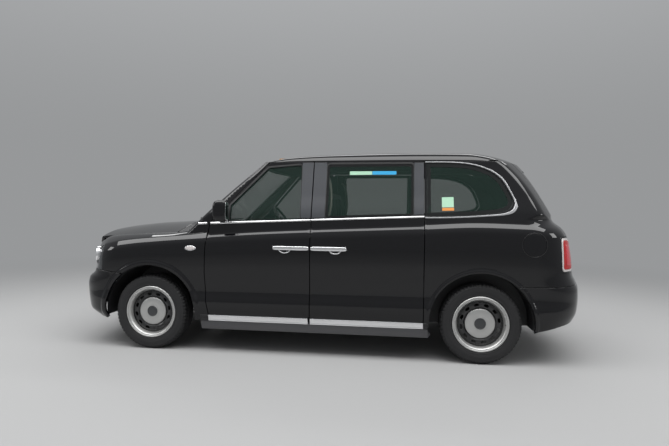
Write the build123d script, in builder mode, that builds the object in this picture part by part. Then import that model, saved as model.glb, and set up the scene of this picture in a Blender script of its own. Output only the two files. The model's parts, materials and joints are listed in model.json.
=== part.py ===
"""Black London style taxi cab with its left side along -Y, front at -X and the ground at z = 0."""

from build123d import *

from math import cos, radians, sin
import os

os.makedirs("parts", exist_ok=True)

# Overall sizes
LENGTH = 4857
FRONT_X = -LENGTH / 2
REAR_X = LENGTH / 2
HALF_WIDTH = 937
HEIGHT = 1888
MIRROR_Y = 1018
GROUND_CLEARANCE = 205

# Axles and wheels
FRONT_AXLE_X = -1548.5
REAR_AXLE_X = 1436.5
TYRE_R = 345
TYRE_WIDTH = 215
RIM_R = 240
BEAD = 0.3
WHEEL_Y = 790
KINGPIN_Y = 780
KINGPIN_R = 24
ARCH_R = 440
HUB_FACE_Y = 820
HUB_R = 45
DISC_R = 150
SLOTS = 12
SLOT_RING_R = 165
SLOT = (36, 50)
SLOT_CORNER = 11

# Hinges: pin centres, with heights for the pairs
FRONT_HINGE = (-965, -925, (805, 945))
REAR_HINGE = (925, -926, (865, 1000))
BONNET_HINGE = (-1346, 1181, 125)
HATCH_HINGE = (1750, 1816, 145)
FLAP_HINGE = (1758, -935, 1036)
PIN_R = 4
PIN_CLEAR = 0.2
KNUCKLE_R = 7
FLAP_PIN_R = 2.5

# Panels
WALL = 60
ROOF_WALL = 40
BONNET_WALL = 30
GAP = 6
BONNET_GAP = 8
GLASS = 5
GLASS_SET_IN = 6
HINGE_GAP = 8
SEAM = 0.15
DOOR_SPLIT_X = -45
DOOR_REAR_X = 951
DOOR_FRONT_X = -979
DOOR_BOTTOM_Z = 345
DOOR_TOP_Z = 1756
SILL_TOP_Z = 290
SILL_ENDS_X = (-1056, 990)
BONNET_REAR_X = -1330
LAMP_Z = (725, 955)
LAMP_BACK_X = -2030
GRILLE_HALF = 480
GRILLE_SLOTS = 5
GRILLE_SLOT = 26
TAIL_LAMP_X = 2088
TAIL_LAMP_Z = (793, 1105)
HATCH_X = 1740
HATCH_BOTTOM_Z = 690
HATCH_HALF = 690
HATCH_GAP = 16
FLAP_CENTRE = (1856, 1036)
FLAP_HOLE_R = 101
FLAP_R = 95
FLAP_THICK = 10

# Floor, bulkhead and arch liners
FLOOR_Z = 240
FLOOR_TOP = 280
FLOOR_HALF = 836
BULKHEAD_X = -1085
BULKHEAD_THICK = 40
STEP_X = 950
REAR_FLOOR_Z = 480
REAR_FLOOR_TOP = 515
REAR_FLOOR_HALF = 640
LINER_R = (441, 453)
LINER_BOTTOM_Z = 300
REAR_LINER_Y = 641
FRONT_LINER_Y = 410
SUBFRAME_Y = 360

# Cabin
WHEEL_CENTRE = (-600, 400, 1190)
WHEEL_LEAN = 57
WHEEL_RIM_R = 178
WHEEL_GRIP_R = 14
WHEEL_HUB_R = 55
WHEEL_HUB = 30
COLUMN_R = 28
COLUMN_LENGTH = 270
PARTITION_X = 30
PARTITION_THICK = 20
HANDLE_Z = 968
HANDLES_X = ((-378, -52), (-38, 284))

# Side of the body at the middle: half width, height, share of the shoulder rise
SIDE_POINTS = [
    (880, GROUND_CLEARANCE, 0.0),
    (905, SILL_TOP_Z, 0.0),
    (918, DOOR_BOTTOM_Z, 0.0),
    (930, 460, 0.0),
    (915, 565, 0.0),
    (932, 820, 0.4),
    (HALF_WIDTH, 950, 0.7),
    (931, 1030, 1.0),
    (921, 1066, 1.0),
    (890, 1115, 1.0),
]

# Shoulder rise along the car: x, rise of the shoulder over its height at the middle
SHOULDER = [(-2500, -300), (-2150, -220), (-2012, -150), (-1757, -100), (-1560, -79), (-1000, -32), (-500, 5),
            (951, 76), (1413, 98), (1915, 85), (2500, 60)]

# Nose and tail in plan: height, front centre, rear centre, corner radius
END_LEVELS = [
    (150, -2220, 2250, 380),
    (260, -2290, 2320, 380),
    (353, -2400, 2375, 380),
    (450, -2414, 2420, 380),
    (560, FRONT_X, REAR_X, 380),
    (640, -2412, 2425, 380),
    (700, -2352, 2400, 370),
    (914, -2330, 2358, 360),
    (1030, -2312, 2338, 340),
    (1100, -2262, 2322, 320),
    (1171, -2060, 2276, 300),
    (1330, -1900, 2140, 280),
]
FRONT_PLAN_R = 1900
REAR_PLAN_R = 1750

# Cabin above the belt: height, half width, front centre, front side, rear centre, rear side
CABIN_LEVELS = [
    (1060, 877, -1437, -1230, 2250, 2047),
    (1225, 879, -1244, -1062, 2215, 1962),
    (1458, 814, -973, -823, 2100, 1850),
    (1715, 740, -673, -543, 1935, 1650),
    (1752, 731, -630, -505, 1905, 1600),
    (1812, 705, -562, -440, 1820, 1530),
    (1900, 640, -470, -340, 1620, 1400),
]
SCREEN_CORNER_R = 60
TAIL_CORNER_R = 110

# Roof crown along the car: x, height at the centre
ROOF_LINE = [(-1500, 1400), (-700, 1768), (-580, 1797), (-227, 1856), (300, 1879), (900, HEIGHT),
             (1200, 1886), (1503, 1873), (1690, 1848), (1900, 1790), (2500, 1500)]
ROOF_CROWN_R = 4050

# Bonnet along the car: x, half width, crown height, edge height
BONNET_SECTIONS = [
    (-1000, 835, 1235, 1120),
    (-1386, 800, 1192, 1080),
    (-1560, 775, 1178, 1073),
    (-1800, 735, 1162, 1062),
    (-2030, 690, 1138, 1043),
    (-2270, 620, 1112, 1017),
    (-2500, 560, 1085, 985),
]

# Outlines in side view
DOOR_FRONT = [(DOOR_FRONT_X, DOOR_BOTTOM_Z), (-1003, 480), (-1018, 720), (-1010, 960), (-985, 1186),
              (-452, DOOR_TOP_Z), (DOOR_SPLIT_X, DOOR_TOP_Z), (DOOR_SPLIT_X, DOOR_BOTTOM_Z)]
DOOR_REAR = [(DOOR_SPLIT_X, DOOR_BOTTOM_Z), (DOOR_SPLIT_X, DOOR_TOP_Z), (DOOR_REAR_X, DOOR_TOP_Z),
             (DOOR_REAR_X, DOOR_BOTTOM_Z)]
FRONT_GLASS = [(-800, 1195), (-800, 1345), (-470, 1698), (-154, 1726), (-141, 1222)]
REAR_GLASS = [(78, 1232), (78, 1730), (860, 1735), (860, 1264)]
QUARTER_GLASS = [(975, 1262), (975, 1742), (1259, 1734), (1512, 1631), (1634, 1499), (1692, 1361),
                 (1606, 1301), (1300, 1284)]
SILL = [(SILL_ENDS_X[0], GROUND_CLEARANCE), (SILL_ENDS_X[1], GROUND_CLEARANCE), (SILL_ENDS_X[1], SILL_TOP_Z),
        (DOOR_REAR_X, SILL_TOP_Z), (DOOR_REAR_X, DOOR_BOTTOM_Z), (DOOR_FRONT_X, DOOR_BOTTOM_Z),
        (DOOR_FRONT_X, SILL_TOP_Z), (SILL_ENDS_X[0], SILL_TOP_Z)]
BUMPER_SEAM = [(-2500, LAMP_Z[0]), (-2115, LAMP_Z[0]), (-1859, 706), (-1822, 690)]
FRONT_BUMPER = BUMPER_SEAM + [(-1822, 262), (-2233, 300), (-2350, 380), (-2500, 400)]
WING = BUMPER_SEAM + [(-1822, SILL_TOP_Z), (DOOR_FRONT_X, SILL_TOP_Z), (DOOR_FRONT_X, DOOR_BOTTOM_Z),
                      (-960, DOOR_BOTTOM_Z), (-960, 1250), (-2500, 1250)]
QUARTER = [(DOOR_REAR_X, SILL_TOP_Z), (DOOR_REAR_X, DOOR_TOP_Z), (2200, DOOR_TOP_Z), (2500, 1240),
           (2500, 688), (1700, 676), (1700, SILL_TOP_Z)]
REAR_BUMPER = [(1700, 676), (2500, 688), (2500, 450), (2239, 446), (2109, 349), (1862, 295),
               (1700, SILL_TOP_Z)]
SCREEN_FRAME = [(-1500, 1060), (-1006, 1060), (-991, 1186), (-452, DOOR_TOP_Z), (-900, DOOR_TOP_Z)]
BELOW_BONNET = [(-1200, 800), (-1200, 1056), (-1386, 1052), (-2030, 1012), (-2150, 990), (-2150, 800)]
DASHBOARD = [(BULKHEAD_X + 0.3, 880), (BULKHEAD_X + 0.3, 1110), (-960, 1130), (-830, 1120), (-800, 1060),
             (-830, 930), (-900, 880)]
DRIVER_SEAT = [(-560, 430), (-560, 530), (-535, 560), (-166, 545), (-140, 1120), (-125, 1150), (-85, 1150),
               (-60, 1110), (-80, 560), (-110, 430)]
HEADREST = [(-120, 1145), (-130, 1290), (-80, 1300), (-65, 1140)]
BENCH = [(1150, REAR_FLOOR_TOP + 0.3), (1150, 730), (1180, 760), (1590, 745), (1640, 1240), (1665, 1280),
         (1720, 1280), (1720, REAR_FLOOR_TOP + 0.3)]

ROOF_SIGN = [(-545, 1780), (-545, 1795), (-500, 1840), (-440, 1843), (-420, 1830), (-420, 1790)]

# Outlines in front view
TAILGATE = [(-HATCH_HALF, HATCH_BOTTOM_Z), (-HATCH_HALF, 1230), (-520, 1950), (520, 1950), (HATCH_HALF, 1230),
            (HATCH_HALF, HATCH_BOTTOM_Z)]
TAIL_GLASS = [(-590, 1290), (-490, 1690), (490, 1690), (590, 1290)]
SCREEN = [(-740, 1160), (-690, 1400), (-620, 1738), (620, 1738), (690, 1400), (740, 1160)]

# Lower arm in plan, from the rail to the kingpin
LOWER_ARM = [(-130, SUBFRAME_Y), (130, SUBFRAME_Y), (130, SUBFRAME_Y + 30), (38, KINGPIN_Y - 25),
             (-38, KINGPIN_Y - 25), (-130, SUBFRAME_Y + 30)]

REAR_STATIONS = [-1060, -500, 951, 1413, 1915, 2430]
FRONT_STATIONS = [-2450, -2150, -2012, -1757, -1560, -960]


def rise(x):
    """Shoulder rise at x by straight lines between the measured stations."""
    for (x0, r0), (x1, r1) in zip(SHOULDER, SHOULDER[1:]):
        if x <= x1:
            return r0 + (r1 - r0) * (x - x0) / (x1 - x0)
    return SHOULDER[-1][1]


def belt(x):
    """Height of the window sill line at x."""
    return 1218 + 0.04185 * x


def across(x):
    """Plane across the car at x, seen from behind."""
    return Plane(origin=(x, 0, 0), x_dir=(0, 1, 0), z_dir=(1, 0, 0))


def side_on(y, x=0, z=0):
    """Plane along the car at y, seen from the left."""
    return Plane(origin=(x, y, z), x_dir=(1, 0, 0), z_dir=(0, -1, 0))


def tub_section(x, inset, front):
    """Closed cross section of the lower body at x, set in by the wall."""
    half = [(y - inset, z + share * rise(x)) for y, z, share in SIDE_POINTS]
    if inset:
        half[0] = (half[0][0], GROUND_CLEARANCE - WALL)
    if front:
        half.append((760 - inset, 1128 - inset + rise(x)))
    else:
        half.append((879 - inset, belt(x) - inset / 2))
    with BuildSketch(across(x), mode=Mode.PRIVATE) as sketch:
        with BuildLine():
            Polyline(*half, *[(-y, z) for y, z in reversed(half)], close=True)
        make_face()
    return sketch.sketch


def box(x0, x1, y0, y1, z0, z1):
    """Plain block between two corners."""
    with BuildPart(mode=Mode.PRIVATE) as part:
        with Locations(((x0 + x1) / 2, (y0 + y1) / 2, (z0 + z1) / 2)):
            Box(x1 - x0, y1 - y0, z1 - z0)
    return part.part


def both_sides(x0, x1, y0, y1, z0, z1):
    """A block and its mirror image across the car."""
    return [box(x0, x1, y0, y1, z0, z1), box(x0, x1, -y1, -y0, z0, z1)]


def prism(plane, points, depth, set_in=0):
    """Outline on a plane, set in by a gap and carried along the plane's axis."""
    with BuildPart(mode=Mode.PRIVATE) as part:
        with BuildSketch(plane):
            with BuildLine():
                Polyline(*points, close=True)
            make_face()
            if set_in:
                offset(amount=-set_in, kind=Kind.INTERSECTION)
        extrude(amount=depth)
    return part.part


def side_prism(points, y0, y1, set_in=0):
    """Outline in side view carried across from y0 to y1."""
    return prism(side_on(y0), points, y0 - y1, set_in)


def front_prism(points, x0, x1, set_in=0):
    """Outline in front view carried along from x0 to x1."""
    return prism(across(x0), points, x1 - x0, set_in)


def disc(x, z, radius, y0, y1, hole=0):
    """Round disc or ring about a line along Y."""
    with BuildPart(mode=Mode.PRIVATE) as part:
        with BuildSketch(side_on(y0, x, z)):
            Circle(radius)
            if hole:
                Circle(hole, mode=Mode.SUBTRACT)
        extrude(amount=y0 - y1)
    return part.part


def mirrored(part):
    """The same piece on the right side."""
    return mirror(part, about=Plane.XZ)


def tub(stations, inset, front=False):
    """Loft of the lower body through the stations."""
    with BuildPart(mode=Mode.PRIVATE) as part:
        for x in stations:
            add(tub_section(x, inset, front))
        loft(ruled=True)
    return part.part


def plan_face(z, half, front_c, front_s, rear_c, rear_s, front_r, rear_r):
    """Plan outline with bowed front and rear ends and rounded corners."""
    with BuildSketch(Plane.XY.offset(z), mode=Mode.PRIVATE) as sketch:
        with BuildLine():
            ThreePointArc((front_s, -half), (front_c, 0), (front_s, half))
            Line((front_s, half), (rear_s, half))
            ThreePointArc((rear_s, half), (rear_c, 0), (rear_s, -half))
            Line((rear_s, -half), (front_s, -half))
        make_face()
        fillet(sketch.vertices().sort_by(Axis.X)[:2], front_r)
        fillet(sketch.vertices().sort_by(Axis.X)[-2:], rear_r)
    return sketch.sketch


def ends(inset):
    """Nose and tail rounding of the lower body as one loft of plan outlines."""
    half = HALF_WIDTH - inset
    drop_front = half * half / (2 * FRONT_PLAN_R)
    drop_rear = half * half / (2 * REAR_PLAN_R)
    with BuildPart(mode=Mode.PRIVATE) as part:
        for z, front, rear, corner in END_LEVELS:
            front, rear, r = front + inset, rear - inset, corner - inset
            add(plan_face(z, half, front, front + drop_front, rear, rear - drop_rear, r, r))
        loft(ruled=True)
    return part.part


def cabin(inset):
    """Greenhouse volume as one loft of plan outlines, cut by the roof crown."""
    with BuildPart(mode=Mode.PRIVATE) as part:
        for z, half, front_c, front_s, rear_c, rear_s in CABIN_LEVELS:
            add(plan_face(z, half - inset, front_c + inset * 1.3, front_s + inset * 1.3, rear_c - inset,
                          rear_s - inset, SCREEN_CORNER_R, TAIL_CORNER_R))
        loft(ruled=True)
        with BuildPart(mode=Mode.INTERSECT):
            for x, top in ROOF_LINE:
                crown = top - inset
                edge = crown - 1000 * 1000 / (2 * ROOF_CROWN_R)
                with BuildSketch(across(x)):
                    with BuildLine():
                        ThreePointArc((-1000, edge), (0, crown), (1000, edge))
                        Polyline((1000, edge), (1000, 900), (-1000, 900), (-1000, edge))
                    make_face()
            loft(ruled=True)
    return part.part


def bonnet_volume(inset):
    """Raised bonnet volume between the wings."""
    with BuildPart(mode=Mode.PRIVATE) as part:
        for x, half, crown, edge in BONNET_SECTIONS:
            with BuildSketch(across(x)):
                with BuildLine():
                    w, c, e = half - inset, crown - inset, edge - inset
                    ThreePointArc((-w, e), (0, c), (w, e))
                    Polyline((w, e), (w + 20, 700), (-w - 20, 700), (-w, e))
                make_face()
        loft(ruled=True)
    return part.part


def bonnet_prism(grow):
    """Column over the bonnet's outline in plan."""
    with BuildPart(mode=Mode.PRIVATE) as part:
        for x, half, crown, edge in BONNET_SECTIONS:
            with BuildSketch(across(x)):
                with Locations((0, 1150)):
                    Rectangle(2 * (half + grow), 600)
        loft(ruled=True)
    return part.part


def hinge_arms(hinge, post_x):
    """Gooseneck arms with their pins, from the post to the hinge line."""
    x, y, heights = hinge
    way = 1 if post_x > x else -1
    with BuildPart(mode=Mode.PRIVATE) as part:
        for z in heights:
            add(box(x - PIN_R, x + PIN_R, y - PIN_R, y + 67, z - 11, z + 11))
            arm, foot = sorted((x - PIN_R * way, post_x)), sorted((post_x - 15 * way, post_x))
            add(box(*arm, y + 55, y + 67, z - 11, z + 11))
            add(box(*foot, y + 20, y + 67, z - 11, z + 11))
            with Locations((x, y, z)):
                Cylinder(PIN_R, 40)
    return part.part


def hinge_notches(hinge, edge_x):
    """Pockets and bores in a door's edge for the hinge arms."""
    x, y, heights = hinge
    way = 1 if edge_x > x else -1
    with BuildPart(mode=Mode.PRIVATE) as part:
        for z in heights:
            add(box(*sorted((x - 13 * way, edge_x)), y - 3, y + 150, z - 16, z + 16))
            with Locations((x, y, z)):
                Cylinder(9, 32)
                Cylinder(PIN_R + PIN_CLEAR, 42)
    return part.part


def handle(x0, x1):
    """Bar handle on two feet over a door's skin."""
    with BuildPart(mode=Mode.PRIVATE) as part:
        with BuildSketch(side_on(-HALF_WIDTH - 20)) as face:
            with Locations(((x0 + x1) / 2, HANDLE_Z)):
                Rectangle(x1 - x0, 34)
            chamfer(face.vertices(), 8)
        extrude(amount=14)
        for x in (x0 + 25, x1 - 25):
            add(box(x - 14, x + 14, -HALF_WIDTH - 21, -HALF_WIDTH + 12, HANDLE_Z - 12, HANDLE_Z + 12))
    return part.part


# Volumes that the panels are cut from
outer_ends, inner_ends = ends(0), ends(WALL)
cabin_outer = cabin(0)
cabin_clear = cabin(-2 * SEAM)

with BuildPart() as rear_outer:
    add(tub(REAR_STATIONS, 0))
    add(outer_ends, mode=Mode.INTERSECT)
    add(cabin_outer)

with BuildPart() as rear_inner:
    add(tub([BULKHEAD_X] + REAR_STATIONS[1:], WALL))
    add(inner_ends, mode=Mode.INTERSECT)
    add(cabin(ROOF_WALL))

with BuildPart() as front_outer:
    add(tub(FRONT_STATIONS, 0, True))
    add(bonnet_volume(0))
    add(outer_ends, mode=Mode.INTERSECT)

with BuildPart() as front_inner:
    add(tub(FRONT_STATIONS, WALL, True))
    add(bonnet_volume(BONNET_WALL))
    add(inner_ends, mode=Mode.INTERSECT)

with BuildPart() as rear_shell:
    add(rear_outer.part)
    add(rear_inner.part, mode=Mode.SUBTRACT)
    add(disc(REAR_AXLE_X, TYRE_R, ARCH_R, -1000, 1000), mode=Mode.SUBTRACT)

with BuildPart() as front_shell:
    add(front_outer.part)
    add(front_inner.part, mode=Mode.SUBTRACT)
    add(disc(FRONT_AXLE_X, TYRE_R, ARCH_R, -1000, 1000), mode=Mode.SUBTRACT)

with BuildPart() as glass_skin:
    add(cabin(GLASS_SET_IN))
    add(cabin(GLASS_SET_IN + GLASS), mode=Mode.SUBTRACT)

# Floor with the bulkhead, the raised rear floor and its rails
with BuildPart() as floor_pan:
    add(box(BULKHEAD_X, SILL_ENDS_X[1], -FLOOR_HALF, FLOOR_HALF, FLOOR_Z, FLOOR_TOP))
    add(box(STEP_X, SILL_ENDS_X[1], -REAR_FLOOR_HALF, REAR_FLOOR_HALF, FLOOR_Z, REAR_FLOOR_TOP))
    add(box(STEP_X, 2225, -REAR_FLOOR_HALF, REAR_FLOOR_HALF, REAR_FLOOR_Z, REAR_FLOOR_TOP))
    add(box(BULKHEAD_X - BULKHEAD_THICK, BULKHEAD_X, -790, 790, FLOOR_Z, 1029.7))
    add(both_sides(BULKHEAD_X - BULKHEAD_THICK, SILL_ENDS_X[1], 640, 700, 200, FLOOR_TOP))
    for axle, liner_y in ((REAR_AXLE_X, REAR_LINER_Y), (FRONT_AXLE_X, FRONT_LINER_Y)):
        for y0, y1 in ((-1000, 0.5 - liner_y), (liner_y - 0.5, 1000)):
            add(disc(axle, TYRE_R, LINER_R[1] + 2, y0, y1), mode=Mode.SUBTRACT)

with BuildPart() as front_subframe:
    add(both_sides(-2290, BULKHEAD_X - BULKHEAD_THICK - 0.3, SUBFRAME_Y - 35, SUBFRAME_Y + 35, 380, 480))
    add(both_sides(FRONT_AXLE_X - 60, FRONT_AXLE_X + 60, SUBFRAME_Y - 35, SUBFRAME_Y + 35, 235, 380))
    add(both_sides(FRONT_AXLE_X - 20, FRONT_AXLE_X + 20, KINGPIN_Y - 40, KINGPIN_Y, 237, 273))
    with BuildSketch(Plane(origin=(FRONT_AXLE_X, 0, 240))):
        with BuildLine():
            Polyline(*LOWER_ARM, close=True)
        make_face()
        with BuildLine():
            Polyline(*[(x, -y) for x, y in LOWER_ARM], close=True)
        make_face()
        with Locations((0, SUBFRAME_Y + 170), (0, -SUBFRAME_Y - 170)):
            Circle(45, mode=Mode.SUBTRACT)
    extrude(amount=30)
    with Locations((FRONT_AXLE_X, KINGPIN_Y, 255), (FRONT_AXLE_X, -KINGPIN_Y, 255)):
        Cylinder(17, 40)
    add(box(-1640, -1460, -SUBFRAME_Y, SUBFRAME_Y, 300, 380))
    add(box(-2230, -2150, -SUBFRAME_Y, SUBFRAME_Y, 400, 480))

with BuildPart() as power_unit:
    add(box(-2050, -1250, -300, 300, 380.3, 950))

with BuildPart() as battery_pack:
    add(box(-850, 900, -600, 600, 180, FLOOR_Z - 0.3))

with BuildPart() as rear_axle:
    add(disc(REAR_AXLE_X, TYRE_R, HUB_R, 1 - HUB_FACE_Y, HUB_FACE_Y - 1))
    for side in (-1, 1):
        add(disc(REAR_AXLE_X, TYRE_R, 60, side * 805 - 14.7, side * 805 + 14.7))
    add(disc(REAR_AXLE_X, TYRE_R, 120, -130, 130))
    add(both_sides(1000, REAR_AXLE_X + 34, 455, 505, 320, 370))
    add(both_sides(1000, 1050, 455, 505, 320, REAR_FLOOR_Z - 0.3))

# Bowls behind the wheels, out to the inner face of the wings and quarters
with BuildPart() as liner_bowls:
    for axle, inner in ((REAR_AXLE_X, REAR_LINER_Y), (FRONT_AXLE_X, FRONT_LINER_Y)):
        add(disc(axle, TYRE_R, LINER_R[1], -900, -inner, LINER_R[0]))
        add(disc(axle, TYRE_R, LINER_R[1], -inner - 12, -inner))
    with BuildPart(mode=Mode.INTERSECT):
        add(Pos(0, 2 * SEAM, 0) * rear_inner.part)
        add(Pos(0, 2 * SEAM, 0) * front_inner.part)
    add(box(-3000, 3000, -1000, 1000, -200, LINER_BOTTOM_Z), mode=Mode.SUBTRACT)
    add(disc(REAR_AXLE_X, TYRE_R, 130, -1000, 1000), mode=Mode.SUBTRACT)

with BuildPart() as arch_liners:
    add(liner_bowls.part)
    add(mirrored(liner_bowls.part))

with BuildPart() as sills:
    add(rear_shell.part)
    add(side_prism(SILL, -1000, 1000, SEAM), mode=Mode.INTERSECT)

with BuildPart() as wing_left:
    add(front_shell.part)
    add(side_prism(WING, -1000, -560, SEAM), mode=Mode.INTERSECT)
    add(bonnet_prism(BONNET_GAP), mode=Mode.SUBTRACT)
    add(box(-1150, -900, -790, 790, 200, 1300), mode=Mode.SUBTRACT)
    add(box(-2500, LAMP_BACK_X, -1000, -300, 700, LAMP_Z[1]), mode=Mode.SUBTRACT)
    add(side_prism(DOOR_FRONT, -1000, -600, -2), mode=Mode.SUBTRACT)
    add(cabin_clear, mode=Mode.SUBTRACT)
    add(hinge_arms(FRONT_HINGE, -1050))

with BuildPart() as bonnet:
    add(front_shell.part)
    add(box(-2600, BONNET_REAR_X - GAP, -900, 900, LAMP_Z[1] + GAP, 1300), mode=Mode.INTERSECT)
    add(bonnet_prism(0), mode=Mode.INTERSECT)
    add(side_prism(BELOW_BONNET, -1000, 1000), mode=Mode.SUBTRACT)
    x, z, y = BONNET_HINGE
    for side in (-1, 1):
        add(box(x - 10, x + 50, side * y - 15, side * y + 15, z - 60, z + 8), mode=Mode.SUBTRACT)
        add(disc(x, z, PIN_R + PIN_CLEAR, side * y - 25, side * y + 25), mode=Mode.SUBTRACT)

with BuildPart() as scuttle:
    add(bonnet_volume(BONNET_WALL))
    add(bonnet_volume(BONNET_WALL + 20), mode=Mode.SUBTRACT)
    add(box(BONNET_REAR_X, -960, -900, 900, 1030, 1300), mode=Mode.INTERSECT)
    x, z, y = BONNET_HINGE
    for side in (-1, 1):
        add(disc(x, z, KNUCKLE_R, side * y - 9, side * y + 9))
        add(disc(x, z, PIN_R, side * y - 24, side * y + 24))
        add(box(x - 4, x + 4, side * y - 9, side * y + 9, z - 32, z))
        add(box(x - 4, x + 30, side * y - 9, side * y + 9, z - 32, z - 14))
    add(cabin_clear, mode=Mode.SUBTRACT)

# Lens shells with a round lamp bowl behind each
with BuildPart() as headlamps:
    add(front_shell.part)
    add(box(-2500, LAMP_BACK_X - 0.3, -1000, 1000, LAMP_Z[0] + 0.2, LAMP_Z[1] - 0.3), mode=Mode.INTERSECT)
    add(box(-2600, -1900, -GRILLE_HALF, GRILLE_HALF, 700, 1000), mode=Mode.SUBTRACT)
    with BuildPart(mode=Mode.ADD):
        with BuildSketch(across(-2150)):
            with Locations((-640, 825), (640, 825)):
                Circle(85)
        extrude(amount=-150, taper=-8)
        add(front_outer.part, mode=Mode.INTERSECT)

# Bowed grille with bars between its slots
with BuildPart() as grille:
    add(front_shell.part)
    add(box(-2500, LAMP_BACK_X, 0.3 - GRILLE_HALF, GRILLE_HALF - 0.3, LAMP_Z[0] + 0.2, LAMP_Z[1] - 1),
        mode=Mode.INTERSECT)
    pitch = (LAMP_Z[1] - LAMP_Z[0]) / (GRILLE_SLOTS + 0.5)
    with BuildSketch(across(-2500)):
        with Locations([(0, LAMP_Z[0] + pitch * (k + 0.75)) for k in range(GRILLE_SLOTS)]):
            SlotOverall(2 * GRILLE_HALF - 80, GRILLE_SLOT)
    extrude(amount=600, mode=Mode.SUBTRACT)

with BuildPart() as front_bumper:
    add(front_shell.part)
    add(side_prism(FRONT_BUMPER, -1000, 1000, SEAM), mode=Mode.INTERSECT)
    with BuildSketch(across(-2500)):
        with Locations((0, 610)):
            SlotOverall(820, 70)
        with Locations((0, 450)):
            SlotOverall(980, 90)
    extrude(amount=600, mode=Mode.SUBTRACT)

with BuildPart() as quarter_blank:
    add(rear_shell.part)
    add(side_prism(QUARTER, -1000, -500, SEAM), mode=Mode.INTERSECT)
    add(front_prism(TAILGATE, 1500, 2500, -GAP), mode=Mode.SUBTRACT)
    add(side_prism(QUARTER_GLASS, -1000, -500), mode=Mode.SUBTRACT)
    add(box(TAIL_LAMP_X, 2500, -1000, -500, *TAIL_LAMP_Z), mode=Mode.SUBTRACT)
    add(hinge_arms(REAR_HINGE, SILL_ENDS_X[1]))

with BuildPart() as quarter_left:
    add(quarter_blank.part)
    add(disc(*FLAP_CENTRE, FLAP_HOLE_R, -1000, -890), mode=Mode.SUBTRACT)
    with Locations(FLAP_HINGE):
        Cylinder(FLAP_PIN_R, 70)

with BuildPart() as fuel_flap:
    add(disc(*FLAP_CENTRE, FLAP_R, -1000, -800))
    add(rear_outer.part, mode=Mode.INTERSECT)
    add(Pos(0, FLAP_THICK, 0) * rear_outer.part, mode=Mode.SUBTRACT)

with BuildPart() as tail_lamps:
    add(rear_shell.part)
    add(box(TAIL_LAMP_X + 0.3, 2500, -1000, 1000, TAIL_LAMP_Z[0] + 0.3, TAIL_LAMP_Z[1] - 0.3),
        mode=Mode.INTERSECT)
    add(box(1900, 2600, -HATCH_HALF - GAP, HATCH_HALF + GAP, 700, 1200), mode=Mode.SUBTRACT)

with BuildPart() as rear_bumper:
    add(rear_shell.part)
    add(side_prism(REAR_BUMPER, -1000, 1000, SEAM), mode=Mode.INTERSECT)

with BuildPart() as roof_panel:
    add(rear_shell.part)
    add(box(-800, 2200, -1000, 1000, DOOR_TOP_Z + SEAM, 1900), mode=Mode.INTERSECT)
    add(front_prism(TAILGATE, HATCH_X - HATCH_GAP, 2500, -GAP), mode=Mode.SUBTRACT)
    x, z, y = HATCH_HINGE
    for side in (-1, 1):
        add(disc(x, z, KNUCKLE_R, side * y - 9, side * y + 9))
        add(disc(x, z, PIN_R, side * y - 24, side * y + 24))
        add(box(x - 4, x + 4, side * y - 9, side * y + 9, z - 50, z))
        add(box(x - 50, x + 4, side * y - 9, side * y + 9, z - 50, z - 40))
        add(box(x - 50, x - 25, side * y - 9, side * y + 9, z - 50, z - 10))

with BuildPart() as pillars:
    add(rear_shell.part)
    add(side_prism(SCREEN_FRAME, -1000, 1000, SEAM), mode=Mode.INTERSECT)
    add(cabin_outer, mode=Mode.INTERSECT)
    add(front_prism(SCREEN, -1500, -400), mode=Mode.SUBTRACT)

with BuildPart() as centre_posts:
    for side in (-1, 1):
        with BuildSketch(Plane.XY.offset(FLOOR_TOP + 0.3)) as foot:
            with Locations((DOOR_SPLIT_X, side * 812)):
                Rectangle(110, 40)
        with BuildSketch(Plane.XY.offset(1150)) as waist:
            with Locations((DOOR_SPLIT_X, side * 800)):
                Rectangle(100, 34)
        with BuildSketch(Plane.XY.offset(1720)) as top:
            with Locations((DOOR_SPLIT_X, side * 668)):
                Rectangle(90, 34)
        loft(sections=[foot.sketch, waist.sketch, top.sketch], ruled=True)

with BuildPart() as windscreen:
    add(glass_skin.part)
    add(front_prism(SCREEN, -1500, -400, 0.3), mode=Mode.INTERSECT)

with BuildPart() as door_front_left:
    add(rear_shell.part)
    add(side_prism(DOOR_FRONT, -1000, -500, GAP), mode=Mode.INTERSECT)
    add(side_prism(FRONT_GLASS, -1000, -500), mode=Mode.SUBTRACT)
    add(hinge_notches(FRONT_HINGE, -1040), mode=Mode.SUBTRACT)
    add(handle(*HANDLES_X[0]))

with BuildPart() as door_rear_left:
    add(rear_shell.part)
    add(side_prism(DOOR_REAR, -1000, -500, GAP), mode=Mode.INTERSECT)
    add(box(-100, DOOR_REAR_X - HINGE_GAP, -1000, -500, 300, 1800), mode=Mode.INTERSECT)
    add(side_prism(REAR_GLASS, -1000, -500), mode=Mode.SUBTRACT)
    add(hinge_notches(REAR_HINGE, 960), mode=Mode.SUBTRACT)
    add(handle(*HANDLES_X[1]))

with BuildPart() as glass_front_left:
    add(glass_skin.part)
    add(side_prism(FRONT_GLASS, -1000, -500, 0.3), mode=Mode.INTERSECT)

with BuildPart() as glass_rear_left:
    add(glass_skin.part)
    add(side_prism(REAR_GLASS, -1000, -500, 0.3), mode=Mode.INTERSECT)

with BuildPart() as quarter_glass:
    add(glass_skin.part)
    add(side_prism(QUARTER_GLASS, -1000, 1000, 0.3), mode=Mode.INTERSECT)
    add(box(0, 3000, -500, 500, 1000, 1900), mode=Mode.SUBTRACT)

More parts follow.
